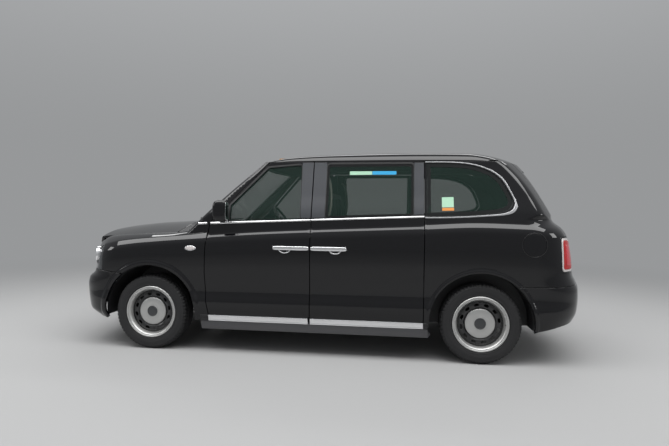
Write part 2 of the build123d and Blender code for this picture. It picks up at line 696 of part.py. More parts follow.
with BuildPart() as tailgate:
    add(rear_shell.part)
    add(front_prism(TAILGATE, HATCH_X, 2500), mode=Mode.INTERSECT)
    add(box(0, 2500, -1000, 1000, HATCH_BOTTOM_Z + 4, 1950), mode=Mode.INTERSECT)
    add(front_prism(TAIL_GLASS, 1500, 2500), mode=Mode.SUBTRACT)
    x, z, y = HATCH_HINGE
    for side in (-1, 1):
        add(box(x - 20, x + 13, side * y - 15, side * y + 15, z - 60, z + 7), mode=Mode.SUBTRACT)
        add(disc(x, z, PIN_R + PIN_CLEAR, side * y - 25, side * y + 25), mode=Mode.SUBTRACT)

with BuildPart() as tailgate_glass:
    add(glass_skin.part)
    add(front_prism(TAIL_GLASS, HATCH_X, 2500, 0.3), mode=Mode.INTERSECT)

with BuildPart() as mirror_left:
    with BuildSketch(side_on(-905)):
        with Locations((-851, 1290)):
            RectangleRounded(148, 195, 40)
    extrude(amount=MIRROR_Y - 905, taper=4)
    add(box(-900, -840, -915, -800, 1205, 1245))
    add(rear_outer.part, mode=Mode.SUBTRACT)

with BuildPart() as roof_sign:
    add(side_prism(ROOF_SIGN, -200, 200))
    add(cabin_outer, mode=Mode.SUBTRACT)

# Cabin
with BuildPart() as dashboard:
    add(side_prism(DASHBOARD, -760, 760))

wheel_axis = (sin(radians(WHEEL_LEAN)), 0, cos(radians(WHEEL_LEAN)))
wheel_plane = Plane(origin=WHEEL_CENTRE, x_dir=(0, 1, 0), z_dir=wheel_axis)

with BuildPart() as steering_column:
    with BuildSketch(wheel_plane.offset(-WHEEL_HUB / 2 - 0.3)):
        Circle(COLUMN_R)
    extrude(amount=-COLUMN_LENGTH)
    add(Pos(0.3, 0, 0.3) * dashboard.part, mode=Mode.SUBTRACT)
    add(dashboard.part, mode=Mode.SUBTRACT)

with BuildPart() as steering_wheel:
    with BuildSketch(Plane(origin=WHEEL_CENTRE, x_dir=(0, 1, 0), z_dir=wheel_plane.y_dir)):
        with Locations((WHEEL_RIM_R, 0)):
            RegularPolygon(WHEEL_GRIP_R, 8)
    revolve(axis=Axis(WHEEL_CENTRE, wheel_axis))
    with BuildSketch(wheel_plane.offset(-WHEEL_HUB / 2)):
        Circle(WHEEL_HUB_R)
    extrude(amount=WHEEL_HUB)
    with BuildSketch(wheel_plane.offset(-6)):
        Rectangle(2 * WHEEL_RIM_R, 30)
        with Locations((0, -WHEEL_RIM_R / 2)):
            Rectangle(30, WHEEL_RIM_R)
    extrude(amount=12)

with BuildPart() as driver_seat:
    add(side_prism(DRIVER_SEAT, 170, 660))
    add(box(-470, -200, 230, 600, FLOOR_TOP + 0.3, 445))
    add(side_prism(HEADREST, 320, 510))

with BuildPart() as partition:
    add(box(PARTITION_X, PARTITION_X + PARTITION_THICK, -720, 720, FLOOR_TOP + 0.3, 1500))

with BuildPart() as rear_bench:
    add(side_prism(BENCH, -620, 620))

with BuildPart() as tip_up_seats:
    for y in (-480, 0, 480):
        add(box(PARTITION_X + PARTITION_THICK + 0.3, 130, y - 200, y + 200, 500, 1050))

# Wheels and steering
with BuildPart() as knuckle_left:
    add(disc(FRONT_AXLE_X, TYRE_R, HUB_R, 0.3 - HUB_FACE_Y, -740))
    with Locations((FRONT_AXLE_X, -KINGPIN_Y, TYRE_R)):
        Cylinder(KINGPIN_R, 139.4)
    add(disc(FRONT_AXLE_X, TYRE_R, DISC_R, 2 - HUB_FACE_Y, 12 - HUB_FACE_Y))

with BuildPart() as tyre_blank:
    with BuildSketch(Plane.XY):
        with Locations(((TYRE_R + RIM_R + BEAD) / 2, -WHEEL_Y)):
            Rectangle(TYRE_R - RIM_R - BEAD, TYRE_WIDTH)
    revolve(axis=Axis.Y)

# Pressed wheel with a ring of slots round its raised centre
with BuildPart() as rim_blank:
    with BuildSketch(Plane.XY):
        with BuildLine():
            Polyline((0, -862), (50, -858), (50, -852), (127, -852), (127, -838), (197, -850),
                     (RIM_R, -890), (RIM_R, -690), (225, -690), (225, -835), (127, -HUB_FACE_Y),
                     (0, -HUB_FACE_Y), close=True)
        make_face()
    revolve(axis=Axis.Y)
    with BuildSketch(side_on(-800)) as slots:
        with PolarLocations(SLOT_RING_R, SLOTS):
            Rectangle(*SLOT)
        chamfer(slots.vertices(), SLOT_CORNER)
    extrude(amount=100, mode=Mode.SUBTRACT)

LEFT = {
    "wing": wing_left.part, "door_front": door_front_left.part, "door_rear": door_rear_left.part,
    "glass_front": glass_front_left.part, "glass_rear": glass_rear_left.part, "mirror": mirror_left.part,
    "knuckle": knuckle_left.part,
    "tyre_front": Pos(FRONT_AXLE_X, 0, TYRE_R) * tyre_blank.part,
    "rim_front": Pos(FRONT_AXLE_X, 0, TYRE_R) * rim_blank.part,
    "tyre_rear": Pos(REAR_AXLE_X, 0, TYRE_R) * tyre_blank.part,
    "rim_rear": Pos(REAR_AXLE_X, 0, TYRE_R) * rim_blank.part,
}
PIECES = {
    "floor_pan": floor_pan.part, "front_subframe": front_subframe.part, "power_unit": power_unit.part,
    "battery_pack": battery_pack.part, "arch_liners": arch_liners.part, "centre_posts": centre_posts.part,
    "rear_axle": rear_axle.part, "sills": sills.part, "bonnet": bonnet.part, "scuttle": scuttle.part,
    "headlamps": headlamps.part, "grille": grille.part, "front_bumper": front_bumper.part,
    "quarter_left": quarter_left.part, "quarter_right": mirrored(quarter_blank.part),
    "tail_lamps": tail_lamps.part, "rear_bumper": rear_bumper.part, "roof_panel": roof_panel.part,
    "pillars": pillars.part, "windscreen": windscreen.part, "quarter_glass": quarter_glass.part,
    "tailgate": tailgate.part, "tailgate_glass": tailgate_glass.part, "fuel_flap": fuel_flap.part,
    "roof_sign": roof_sign.part, "dashboard": dashboard.part, "steering_column": steering_column.part,
    "steering_wheel": steering_wheel.part, "driver_seat": driver_seat.part, "partition": partition.part,
    "rear_bench": rear_bench.part, "tip_up_seats": tip_up_seats.part,
}
for name, part in LEFT.items():
    PIECES[name + "_left"] = part
    PIECES[name + "_right"] = mirrored(part)

for name, part in PIECES.items():
    part.label = name
    export_step(part, f"parts/{name}.step")
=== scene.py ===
# %% [markdown]
# # A black purpose-built taxi cab
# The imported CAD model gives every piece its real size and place. This script gives the pieces their looks:
# smooth glossy panels worked out as surfaces, tinted glass, chrome trim, tyres and a soft studio.

# %% Load the frame
import json
import math

import bmesh
import bpy
import numpy as np
from mathutils import Matrix, Vector
from mathutils.geometry import delaunay_2d_cdt


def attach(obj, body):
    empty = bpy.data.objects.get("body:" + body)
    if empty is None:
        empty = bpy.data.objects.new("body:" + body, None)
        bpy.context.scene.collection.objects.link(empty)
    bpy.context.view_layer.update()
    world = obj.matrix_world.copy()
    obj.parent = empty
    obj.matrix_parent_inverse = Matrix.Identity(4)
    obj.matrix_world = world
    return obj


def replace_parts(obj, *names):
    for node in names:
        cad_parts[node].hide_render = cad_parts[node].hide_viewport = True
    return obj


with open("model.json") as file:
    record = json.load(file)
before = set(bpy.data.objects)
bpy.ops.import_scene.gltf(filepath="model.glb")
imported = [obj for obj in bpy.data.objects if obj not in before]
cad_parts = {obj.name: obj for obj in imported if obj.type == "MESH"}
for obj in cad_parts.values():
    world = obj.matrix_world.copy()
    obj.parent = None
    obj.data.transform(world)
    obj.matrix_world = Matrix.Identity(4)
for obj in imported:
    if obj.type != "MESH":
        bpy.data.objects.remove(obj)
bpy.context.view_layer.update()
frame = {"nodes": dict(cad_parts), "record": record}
nodes = frame["nodes"]
print("pieces in the frame:", len(nodes))

# %% [markdown]
# ## The camera
# The photo was taken about four metres from the left side and a little behind the middle, with a wide lens that
# looks slightly forward. Writing the camera's three axes as vectors keeps the small downward pitch and roll
# exact.

# %% Camera at the photographer's place
EYE = Vector((0.7027, -5.1211, 1.2866))
YAW = math.radians(-7.21)
PITCH = math.radians(1.22)
ROLL = math.radians(0.67)
LENS_MM = 25.99

forward = Vector((math.sin(YAW) * math.cos(PITCH), math.cos(YAW) * math.cos(PITCH), -math.sin(PITCH)))
level = Vector((math.cos(YAW), -math.sin(YAW), 0))
upward = level.cross(forward)
right = level * math.cos(ROLL) + upward * math.sin(ROLL)
top = upward * math.cos(ROLL) - level * math.sin(ROLL)

camera_data = bpy.data.cameras.new("photo_camera")
camera_data.lens = LENS_MM
camera_data.sensor_width = 36
camera = bpy.data.objects.new("photo_camera", camera_data)
bpy.context.scene.collection.objects.link(camera)
camera.matrix_world = Matrix.Translation(EYE) @ Matrix((right, top, -forward)).transposed().to_4x4()
bpy.context.scene.camera = camera
print("camera height in metres:", round(camera.location.z, 3))

# %% [markdown]
# ## The studio
# A black glossy body is drawn by what it mirrors. One wide soft box hangs over the near side, for a broad
# bright band along the shoulder and the roof rail, and a narrow one over the far side. The sky is dim and
# even, so the flanks stay black. The floor is matt, and far away it takes the sky's own brightness, which
# hides its edge.

# %% Floor, sky and soft boxes
scene = bpy.context.scene
scene.view_settings.view_transform = "Standard"
HORIZON = 0.32
ZENITH = 0.55
SKY_COLOUR = (0.96, 0.98, 1.0, 1)
FLOOR_COLOUR = (0.36, 0.36, 0.36)
FLOOR_REACH = 40.0
FLOOR_FADE = (3.5, 11.0)


def link_range(tree, source, target, low, high, start=0.0, end=1.0):
    """Map Range node between two sockets: from low..high to start..end, eased at both ends."""
    fade = tree.nodes.new("ShaderNodeMapRange")
    fade.interpolation_type = "SMOOTHSTEP"
    for socket, value in (("From Min", low), ("From Max", high), ("To Min", start), ("To Max", end)):
        fade.inputs[socket].default_value = value
    tree.links.new(source, fade.inputs["Value"])
    tree.links.new(fade.outputs["Result"], target)


def link_math(tree, operation, first, second):
    """Math node that takes two sockets; its result socket."""
    node = tree.nodes.new("ShaderNodeMath")
    node.operation = operation
    tree.links.new(first, node.inputs[0])
    tree.links.new(second, node.inputs[1])
    return node.outputs["Value"]


def floor_material(name, colour, near, far):
    """Matt floor that turns into the horizon's own brightness between two distances from the car. It does so
    for the rays of the camera, of mirrors and of glass only, so that it keeps the shadow and adds no light."""
    material = bpy.data.materials.new(name)
    material.use_nodes = True
    tree = material.node_tree
    shader = tree.nodes["Principled BSDF"]
    shader.inputs["Base Color"].default_value = (*colour, 1)
    shader.inputs["Roughness"].default_value = 0.9
    shader.inputs["Specular IOR Level"].default_value = 0.0
    glow = tree.nodes.new("ShaderNodeEmission")
    glow.inputs["Color"].default_value = SKY_COLOUR
    glow.inputs["Strength"].default_value = HORIZON
    place = tree.nodes.new("ShaderNodeTexCoord")
    distance = tree.nodes.new("ShaderNodeVectorMath")
    distance.operation = "LENGTH"
    tree.links.new(place.outputs["Object"], distance.inputs[0])
    ray = tree.nodes.new("ShaderNodeLightPath").outputs
    seen = link_math(tree, "MAXIMUM", ray["Is Camera Ray"], ray["Is Glossy Ray"])
    seen = link_math(tree, "MAXIMUM", seen, ray["Is Transmission Ray"])
    amount = tree.nodes.new("ShaderNodeMath")
    amount.operation = "MULTIPLY"
    tree.links.new(seen, amount.inputs[1])
    link_range(tree, distance.outputs["Value"], amount.inputs[0], near, far)
    blend = tree.nodes.new("ShaderNodeMixShader")
    tree.links.new(amount.outputs["Value"], blend.inputs["Fac"])
    tree.links.new(shader.outputs["BSDF"], blend.inputs[1])
    tree.links.new(glow.outputs["Emission"], blend.inputs[2])
    tree.links.new(blend.outputs["Shader"], tree.nodes["Material Output"].inputs["Surface"])
    return material


floor_mesh = bpy.data.meshes.new("studio_floor")
corners = [(x * FLOOR_REACH, y * FLOOR_REACH, 0) for x, y in ((-1, -1), (1, -1), (1, 1), (-1, 1))]
floor_mesh.from_pydata(corners, [], [(0, 1, 2, 3)])
floor = bpy.data.objects.new("studio_floor", floor_mesh)
scene.collection.objects.link(floor)
floor_mesh.materials.append(floor_material("floor_pale", FLOOR_COLOUR, *FLOOR_FADE))

world = bpy.data.worlds.new("studio_sky")
scene.world = world
world.use_nodes = True
sky = world.node_tree
direction = sky.nodes.new("ShaderNodeTexCoord")
split = sky.nodes.new("ShaderNodeSeparateXYZ")
sky.links.new(direction.outputs["Generated"], split.inputs["Vector"])
sky.nodes["Background"].inputs["Color"].default_value = SKY_COLOUR
link_range(sky, split.outputs["Z"], sky.nodes["Background"].inputs["Strength"], 0.10, 0.80, HORIZON, ZENITH)


def soft_box(name, place, aim, width, height, watts):
    """A rectangular lamp at place, turned to face aim."""
    data = bpy.data.lights.new(name, "AREA")
    data.shape = "RECTANGLE"
    data.size = width
    data.size_y = height
    data.energy = watts
    lamp = bpy.data.objects.new(name, data)
    lamp.location = place
    lamp.rotation_euler = (Vector(aim) - Vector(place)).to_track_quat("-Z", "Y").to_euler()
    scene.collection.objects.link(lamp)


soft_box("near_box", (0, -2.6, 6.5), (0, -1.1, 1.0), 14.0, 3.4, 720)
soft_box("far_box", (0, 3.8, 6.4), (0, 0.9, 1.0), 12.0, 1.2, 200)
soft_box("nose_box", (-8.0, -3.5, 3.5), (-2.0, 0, 0.8), 2.0, 2.0, 60)
soft_box("tail_box", (8.0, -2.0, 3.5), (2.0, 0, 0.8), 2.0, 2.0, 60)
print("lamps:", len(bpy.data.lights))

# %% [markdown]
# ## Finishes
# Each slot of the record gets a node material. Gloss paint is a near-black base under a clear coat. A noise
# in Object coordinates makes the roughness wander a little, as it does on a working cab, and can also dent
# the surface finely, as on rubber, cloth and cast iron. Thin glass is see-through by its alpha.

# %% Shader helpers


def shader_material(name, colour, roughness, metallic=0.0, coat=0.0, grain=60.0, spread=0.06, bump=0.0):
    """Principled material whose roughness wanders by a noise in Object coordinates, with an optional bump."""
    material = bpy.data.materials.new(name)
    material.use_nodes = True
    tree = material.node_tree
    shader = tree.nodes["Principled BSDF"]
    shader.inputs["Base Color"].default_value = (*colour, 1)
    shader.inputs["Metallic"].default_value = metallic
    shader.inputs["Coat Weight"].default_value = coat
    shader.inputs["Coat Roughness"].default_value = 0.03
    if coat == 1.0:
        shader.inputs["Specular IOR Level"].default_value = 0.0
    place = tree.nodes.new("ShaderNodeTexCoord")
    noise = tree.nodes.new("ShaderNodeTexNoise")
    noise.inputs["Scale"].default_value = grain
    noise.inputs["Detail"].default_value = 4
    tree.links.new(place.outputs["Object"], noise.inputs["Vector"])
    wander = tree.nodes.new("ShaderNodeMapRange")
    wander.inputs["To Min"].default_value = max(roughness - spread, 0.02)
    wander.inputs["To Max"].default_value = min(roughness + spread, 1.0)
    tree.links.new(noise.outputs["Fac"], wander.inputs["Value"])
    tree.links.new(wander.outputs["Result"], shader.inputs["Roughness"])
    if bump:
        relief = tree.nodes.new("ShaderNodeBump")
        relief.inputs["Strength"].default_value = bump
        relief.inputs["Distance"].default_value = 0.002
        tree.links.new(noise.outputs["Fac"], relief.inputs["Height"])
        tree.links.new(relief.outputs["Normal"], shader.inputs["Normal"])
    return material


def glass_material(name, tint, alpha):
    """Thin tinted pane: see-through by alpha, glossy on its face."""
    material = bpy.data.materials.new(name)
    material.use_nodes = True
    shader = material.node_tree.nodes["Principled BSDF"]
    shader.inputs["Base Color"].default_value = (*tint, 1)
    shader.inputs["Roughness"].default_value = 0.03
    shader.inputs["Alpha"].default_value = alpha
    return material


print("shader helpers ready")

# %% [markdown]
# ## The palette
# Paint, trim and chrome are read from the photograph. The cabin's cloths and plastics are guessed, because
# they show only dimly behind the glass.

# %% All finishes by name
FINISHES = {
    "paint_black": shader_material("paint_black", (0.003, 0.003, 0.004), 0.16, coat=1.0, grain=3.0,
                                   spread=0.05),
    "underbody": shader_material("underbody", (0.02, 0.02, 0.021), 0.75, grain=40, bump=0.3),
    "trim_black": shader_material("trim_black", (0.015, 0.015, 0.016), 0.5, grain=300, bump=0.15),
    "satin_grey": shader_material("satin_grey", (0.09, 0.09, 0.095), 0.42, grain=200),
    "chrome": shader_material("chrome", (0.93, 0.93, 0.94), 0.17, metallic=1.0, grain=12),
    "satin_chrome": shader_material("satin_chrome", (0.62, 0.62, 0.63), 0.26, metallic=1.0, grain=12),
    "cover_grey": shader_material("cover_grey", (0.055, 0.058, 0.065), 0.30, coat=0.3, grain=300),
    "wheel_silver": shader_material("wheel_silver", (0.50, 0.50, 0.49), 0.34, metallic=0.7, grain=120,
                                    spread=0.08),
    "hub_dark": shader_material("hub_dark", (0.035, 0.037, 0.04), 0.3, coat=0.3, grain=100),
    "glass_tint": glass_material("glass_tint", (0.014, 0.034, 0.026), 0.34),
    "lamp_clear": glass_material("lamp_clear", (0.10, 0.11, 0.12), 0.14),
    "lamp_pale": shader_material("lamp_pale", (0.62, 0.58, 0.57), 0.15, coat=0.5, grain=200),
    "lamp_deep": shader_material("lamp_deep", (0.55, 0.015, 0.03), 0.10, coat=0.8, grain=200),
    "lamp_red": shader_material("lamp_red", (0.42, 0.012, 0.012), 0.12, coat=1.0, grain=400),
    "rubber_tyre": shader_material("rubber_tyre", (0.014, 0.014, 0.015), 0.72, grain=150, bump=0.4),
    "wheel_black": shader_material("wheel_black", (0.012, 0.012, 0.013), 0.3, coat=0.4, grain=90),
    "clear_pane": glass_material("clear_pane", (0.05, 0.06, 0.055), 0.10),
    "frit_black": shader_material("frit_black", (0.006, 0.007, 0.007), 0.08, grain=20, spread=0.02),
    "rail_pale": shader_material("rail_pale", (0.42, 0.42, 0.36), 0.4, grain=80),
    "sticker_green": shader_material("sticker_green", (0.38, 0.62, 0.45), 0.4, grain=60),
    "sticker_cyan": shader_material("sticker_cyan", (0.02, 0.33, 0.62), 0.4, grain=60),
    "sticker_orange": shader_material("sticker_orange", (0.72, 0.27, 0.06), 0.4, grain=60),
    "steel": shader_material("steel", (0.4, 0.4, 0.41), 0.35, metallic=1.0, grain=60),
    "cast": shader_material("cast", (0.05, 0.05, 0.052), 0.7, metallic=0.6, grain=90, bump=0.5),
    "headliner": shader_material("headliner", (0.30, 0.30, 0.29), 0.85, grain=120, bump=0.05),
    # The roof's lining is a darker copy of the headliner's cloth: painted shade for the dim cabin under the roof.
    "headliner_painted_shade": shader_material("headliner_painted_shade", (0.10, 0.10, 0.10), 0.9, grain=120, bump=0.05),
    "dash_grey": shader_material("dash_grey", (0.34, 0.34, 0.33), 0.6, grain=500, bump=0.2),
    "seat_cloth": shader_material("seat_cloth", (0.03, 0.03, 0.034), 0.85, grain=900, bump=0.5),
    "wheel_leather": shader_material("wheel_leather", (0.012, 0.012, 0.012), 0.45, grain=700, bump=0.4),
    "sign": shader_material("sign", (0.55, 0.26, 0.05), 0.3, grain=100),
    "battery": shader_material("battery", (0.4, 0.4, 0.41), 0.5, metallic=1.0, grain=50),
}

slot_of = {part["node"]: part["material_slot"] for part in frame["record"]["subparts"]}
for name, node in nodes.items():
    for index in range(len(node.material_slots)):
        node.material_slots[index].material = FINISHES[slot_of[name]]
print("finishes made:", len(FINISHES))

# %% [markdown]
# ## The body as a surface
# The outside is drawn as sheets. A point of a sheet has a run q, which is x along the straight side and goes
# on round the corner as arc length, and a level v, which is the height on the middle section. Because a sheet
# is a formula, its normals are exact, and black gloss paint shows no facets.

# %% Measured sections of the body
# All tables are in metres, on the frame's axes.
# Half width, height, share of the shoulder's rise
SECTION = np.array([(0.880, 0.205, 0.0), (0.905, 0.290, 0.0), (0.918, 0.345, 0.0), (0.930, 0.460, 0.04),
                    (0.915, 0.560, 0.12), (0.921, 0.680, 0.28), (0.932, 0.820, 0.54), (0.936, 0.950, 0.80),
                    (0.931, 1.030, 0.94), (0.921, 1.066, 1.0), (0.890, 1.115, 1.0)])
RISE = np.array([(-2.5, -0.300), (-2.15, -0.220), (-2.012, -0.150), (-1.757, -0.100), (-1.56, -0.079),
                 (-1.0, -0.032), (-0.5, 0.005), (0.951, 0.076), (1.413, 0.098), (1.915, 0.085), (2.5, 0.060)])
SHOULDER_V = 1.115
BELT_V = 1.205
WING_TOP_V = 1.245
GAP = 0.003
# Height, front centre, rear centre, corner radius
ENDS = np.array([(0.15, -2.22, 2.25, 0.38), (0.26, -2.29, 2.32, 0.38), (0.353, -2.40, 2.375, 0.38),
                 (0.45, -2.414, 2.42, 0.38), (0.56, -2.4285, 2.4285, 0.38), (0.64, -2.412, 2.425, 0.38),
                 (0.70, -2.352, 2.40, 0.37), (0.76, -2.342, 2.375, 0.37), (0.914, -2.33, 2.358, 0.36),
                 (1.03, -2.312, 2.338, 0.34), (1.10, -2.262, 2.322, 0.32), (1.171, -2.06, 2.276, 0.30),
                 (1.23, -1.98, 2.20, 0.29), (1.33, -1.90, 2.14, 0.28)])
NOSE_BOW = 1.90
TAIL_BOW = 1.75
# Height, half width, front centre, front side, rear centre, rear side
CABIN = np.array([(1.06, 0.877, -1.437, -1.230, 2.250, 2.047), (1.225, 0.879, -1.244, -1.062, 2.215, 1.962),
                  (1.458, 0.814, -0.973, -0.823, 2.100, 1.850), (1.715, 0.740, -0.673, -0.543, 1.935, 1.650),
                  (1.752, 0.731, -0.630, -0.505, 1.905, 1.600), (1.812, 0.705, -0.562, -0.440, 1.820, 1.530),
                  (1.90, 0.640, -0.470, -0.340, 1.620, 1.400)])
SCREEN_CORNER = 0.06
LAMP_TOP_Z = 0.955
TAIL_CORNER = 0.11
ROOF_LINE = np.array([(-1.5, 1.40), (-0.70, 1.768), (-0.58, 1.797), (-0.227, 1.856), (0.30, 1.879),
                      (0.90, 1.888), (1.20, 1.886), (1.503, 1.873), (1.69, 1.848), (1.90, 1.790),
                      (2.5, 1.50)])
ROOF_BOW = 4.05
# Bonnet: x, half width, crown height, drop of the edge under the crown
BONNET = np.array([(-2.5, 0.560, 1.085, 0.10), (-2.27, 0.620, 1.112, 0.095), (-2.03, 0.690, 1.138, 0.095),
                   (-1.80, 0.735, 1.162, 0.10), (-1.56, 0.775, 1.178, 0.105), (-1.386, 0.800, 1.192, 0.112),
                   (-1.0, 0.835, 1.235, 0.115)])
WHEELS_X = (-1.5485, 1.4365)
WHEEL_R = 0.345
ARCH_R = 0.440
FLARES = (0.492, 0.478)
FLARE_PROUD = 0.009
print("length over the bumpers, mm:", round((ENDS[:, 2].max() - ENDS[:, 1].min()) * 1000))

# %% [markdown]
# ## Curves through the measurements
# A cubic through each column of a table gives the shape between the measured heights. Its slopes never
# overshoot, so a panel can't bulge between two measurements.

# %% Smooth curves


def smooth(knots, values, t):
    """Cubic through the knots with slopes that never overshoot: y = h00 y0 + h10 h m0 + h01 y1 + h11 h m1."""
    knots, values, t = np.asarray(knots, float), np.asarray(values, float), np.asarray(t, float)
    gap = np.diff(knots)
    slope = np.diff(values) / gap
    before, after = slope[:-1], slope[1:]
    w1, w2 = 2 * gap[1:] + gap[:-1], gap[1:] + 2 * gap[:-1]
    same = before * after > 0
    inner = np.zeros(len(before))
    inner[same] = (w1 + w2)[same] / (w1[same] / before[same] + w2[same] / after[same])
    m = np.concatenate([slope[:1], inner, slope[-1:]])
    t = np.clip(t, knots[0], knots[-1])
    k = np.clip(np.searchsorted(knots, t, side="right") - 1, 0, len(gap) - 1)
    h = gap[k]
    u = (t - knots[k]) / h
    return ((1 + 2 * u) * (1 - u) ** 2 * values[k] + u * (1 - u) ** 2 * h * m[k]
            + u * u * (3 - 2 * u) * values[k + 1] + u * u * (u - 1) * h * m[k + 1])


def curves(table):
    """One function for each value column of a table: the smooth cubic, read from a fine list by np.interp."""
    fine = np.linspace(table[0, 0], table[-1, 0], 4001)
    return [lambda t, row=smooth(table[:, 0], column, fine): np.interp(t, fine, row) for column in table.T[1:]]


(rise,) = curves(RISE)
section_half, section_share = curves(SECTION[:, [1, 0, 2]])
nose_end, tail_end, end_corner = curves(ENDS)
cabin_half, screen_x, screen_side_x, back_x, back_side_x = curves(CABIN)
bonnet_half, bonnet_crown, bonnet_drop = curves(BONNET)
(roof_crown,) = curves(ROOF_LINE)


def belt(x):
    """Height of the window sill line at x."""
    return 1.218 + 0.04185 * x


print("belt height at the middle, mm:", round(belt(0) * 1000))

# %% [markdown]
# ## From outline to sheet
# Seen from above, the cab is a straight side, a round corner and a gently bowed end. Each height has its own
# such outline, and stacking them gives the sheet. The wheel arches push it out a little where their lips are.

# %% Plan outlines and levels


def turned(q, half, end, bow, corner):
    """Plan outline towards -x: straight side, corner circle tangent to it, bowed end, and the same beyond it.
    The corner's centre is at x = end + bow - sqrt((bow - corner)^2 - (half - corner)^2)."""
    centre = end + bow - np.sqrt((bow - corner) ** 2 - (half - corner) ** 2)
    full = np.arctan2(end + bow - centre, half - corner)
    to_middle = corner * full + bow * (np.pi / 2 - full)
    run = centre - q
    far = run > to_middle
    run = np.where(far, 2 * to_middle - run, run)
    past = run - corner * full
    turn = np.clip(run / corner, 0, full)
    lean = np.pi / 2 - full - np.maximum(past, 0) / bow
    x = np.where(past > 0, end + bow - bow * np.cos(lean), centre - corner * np.sin(turn))
    y = np.where(past > 0, -bow * np.sin(lean), -(half - corner) - corner * np.cos(turn))
    x, y = np.where(run <= 0, centre - run, x), np.where(run <= 0, -half, y)
    return x, np.where(far, -y, y)


def outline_point(q, half, front, front_bow, front_corner, rear, rear_bow, rear_corner):
    """x and y at run q of a whole plan outline."""
    ahead = turned(q, half, front, front_bow, front_corner)
    behind = turned(-q, half, -rear, rear_bow, rear_corner)
    nose = q < 0
    return np.where(nose, ahead[0], -behind[0]), np.where(nose, ahead[1], behind[1])


def level_height(v, x, front):
    """Height at level v of the section at x."""
    z = np.minimum(v, SHOULDER_V)
    low = z + section_share(z) * rise(x)
    if front:
        over = np.clip((v - SHOULDER_V) / (WING_TOP_V - SHOULDER_V), 0, 1)
        top = bonnet_crown(x) - bonnet_drop(x) - 0.001
        return low + (top - SHOULDER_V - rise(x)) * np.sin(over * np.pi / 2)
    over = np.clip((v - SHOULDER_V) / (BELT_V - SHOULDER_V), 0, 1)
    return low + (belt(x) - SHOULDER_V - rise(x)) * over + np.maximum(v - BELT_V, 0)


def level_half(v, x, front):
    """Half width at level v of the section at x."""
    low = section_half(v)
    if front:
        over = np.clip((v - SHOULDER_V) / (WING_TOP_V - SHOULDER_V), 0, 1)
        return low + (bonnet_half(x) + GAP - SECTION[-1, 0]) * over
    over = np.clip((v - SHOULDER_V) / (BELT_V - SHOULDER_V), 0, 1)
    at_belt = low + (cabin_half(belt(x)) - SECTION[-1, 0]) * over
    return np.where(v > BELT_V, cabin_half(belt(x) + v - BELT_V), at_belt)


def flare(x, z):
    """Lip round the wheel arches: full to half its width, then falling by a cosine."""
    out = np.zeros(np.shape(x))
    for axle, reach in zip(WHEELS_X, FLARES):
        ring = (np.hypot(x - axle, z - WHEEL_R) - ARCH_R) / (reach - ARCH_R)
        out += FLARE_PROUD * 0.5 * (1 + np.cos(np.pi * np.clip(2 * ring - 1, 0, 1)))
    return out


print("arch lips stand proud by, mm:", FLARE_PROUD * 1000)

# %% [markdown]
# ## The five sheets
# The wings and the nose are one sheet, the sides and the tail a second, the cabin above the belt a third.
# Bonnet and roof are heights over the plan. Where two of them meet, the crease is rounded over, as pressed
# steel is.

# %% Sheets of the body, the cabin, the bonnet and the roof


def bows(z):
    """Radii of the cabin's bowed front and rear at height z: (half^2 + depth^2) / (2 depth)."""
    depths = screen_side_x(z) - screen_x(z), back_x(z) - back_side_x(z)
    return tuple((cabin_half(z) ** 2 + depth ** 2) / (2 * depth) for depth in depths)


def body(front):
    """The sheet of the wings and nose (front), or of all behind them, where the tail's outline turns into the
    cabin's over the shoulder."""
    def point(q, v):
        x = np.array(q, float)
        for _ in range(5):
            z = level_height(v, x, front)
            tail, corner = tail_end(z), end_corner(z)
            over = 0 if front else np.clip((v - 1.15) / 0.05, 0, 1)
            over = over * over * (3 - 2 * over)
            tail = tail + over * (back_x(z) - tail)
            bow = TAIL_BOW + over * (bows(z)[1] - TAIL_BOW)
            tail_corner = corner + over * (TAIL_CORNER - corner)
            half = level_half(v, x, front)
            x, y = outline_point(q, half, nose_end(z), NOSE_BOW, corner, tail, bow, tail_corner)
        return np.stack([x, y - flare(x, z) * np.sign(-y), z + np.zeros(np.shape(x))], -1)
    return point


def cabin(q, z):
    """The sheet of the cabin above the belt, where the level is the height itself."""
    front_bow, rear_bow = bows(z)
    x, y = outline_point(q, cabin_half(z), screen_x(z), front_bow, SCREEN_CORNER,
                         back_x(z), rear_bow, TAIL_CORNER)
    return np.stack([x, y, z + np.zeros(np.shape(x))], -1)


def least(a, b, k):
    """Smaller of two heights, with the crease rounded over k: b + (a - b) h - k h (1 - h)."""
    h = np.clip(0.5 + 0.5 * (b - a) / k, 0, 1)
    return b + (a - b) * h - k * h * (1 - h)


def bisect(function, target, low, high):
    """Argument at which the rising function meets the target, halving the bracket 26 times."""
    low, high = np.zeros(np.shape(target)) + low, np.zeros(np.shape(target)) + high
    for _ in range(26):
        middle = (low + high) / 2
        under = function(middle) < target
        low, high = np.where(under, middle, low), np.where(under, high, middle)
    return (low + high) / 2


def nose_top(x, y):
    """Height at which the bowed nose passes the plan point (x, y)."""
    centre = x - NOSE_BOW + np.sqrt(NOSE_BOW ** 2 - y ** 2)
    return bisect(nose_end, centre, 0.70, 1.33)


LIP_BACK = 0.0006
LIP_REACH = 0.05
BONNET_CREASE = 0.05


def bonnet_lip(y):
    """x of the bonnet's front edge at y, a hair behind the bowed nose."""
    return nose_end(LAMP_TOP_Z) + NOSE_BOW - np.sqrt(NOSE_BOW ** 2 - y ** 2) + LIP_BACK


def bonnet_run(x, y):
    """Run at x: the way back from the lip plus its reach, or within that reach 2 sqrt(reach * way back)."""
    back = x - bonnet_lip(y)
    return np.where(back < LIP_REACH, np.sqrt(4 * LIP_REACH * np.maximum(back, 0)), back + LIP_REACH)


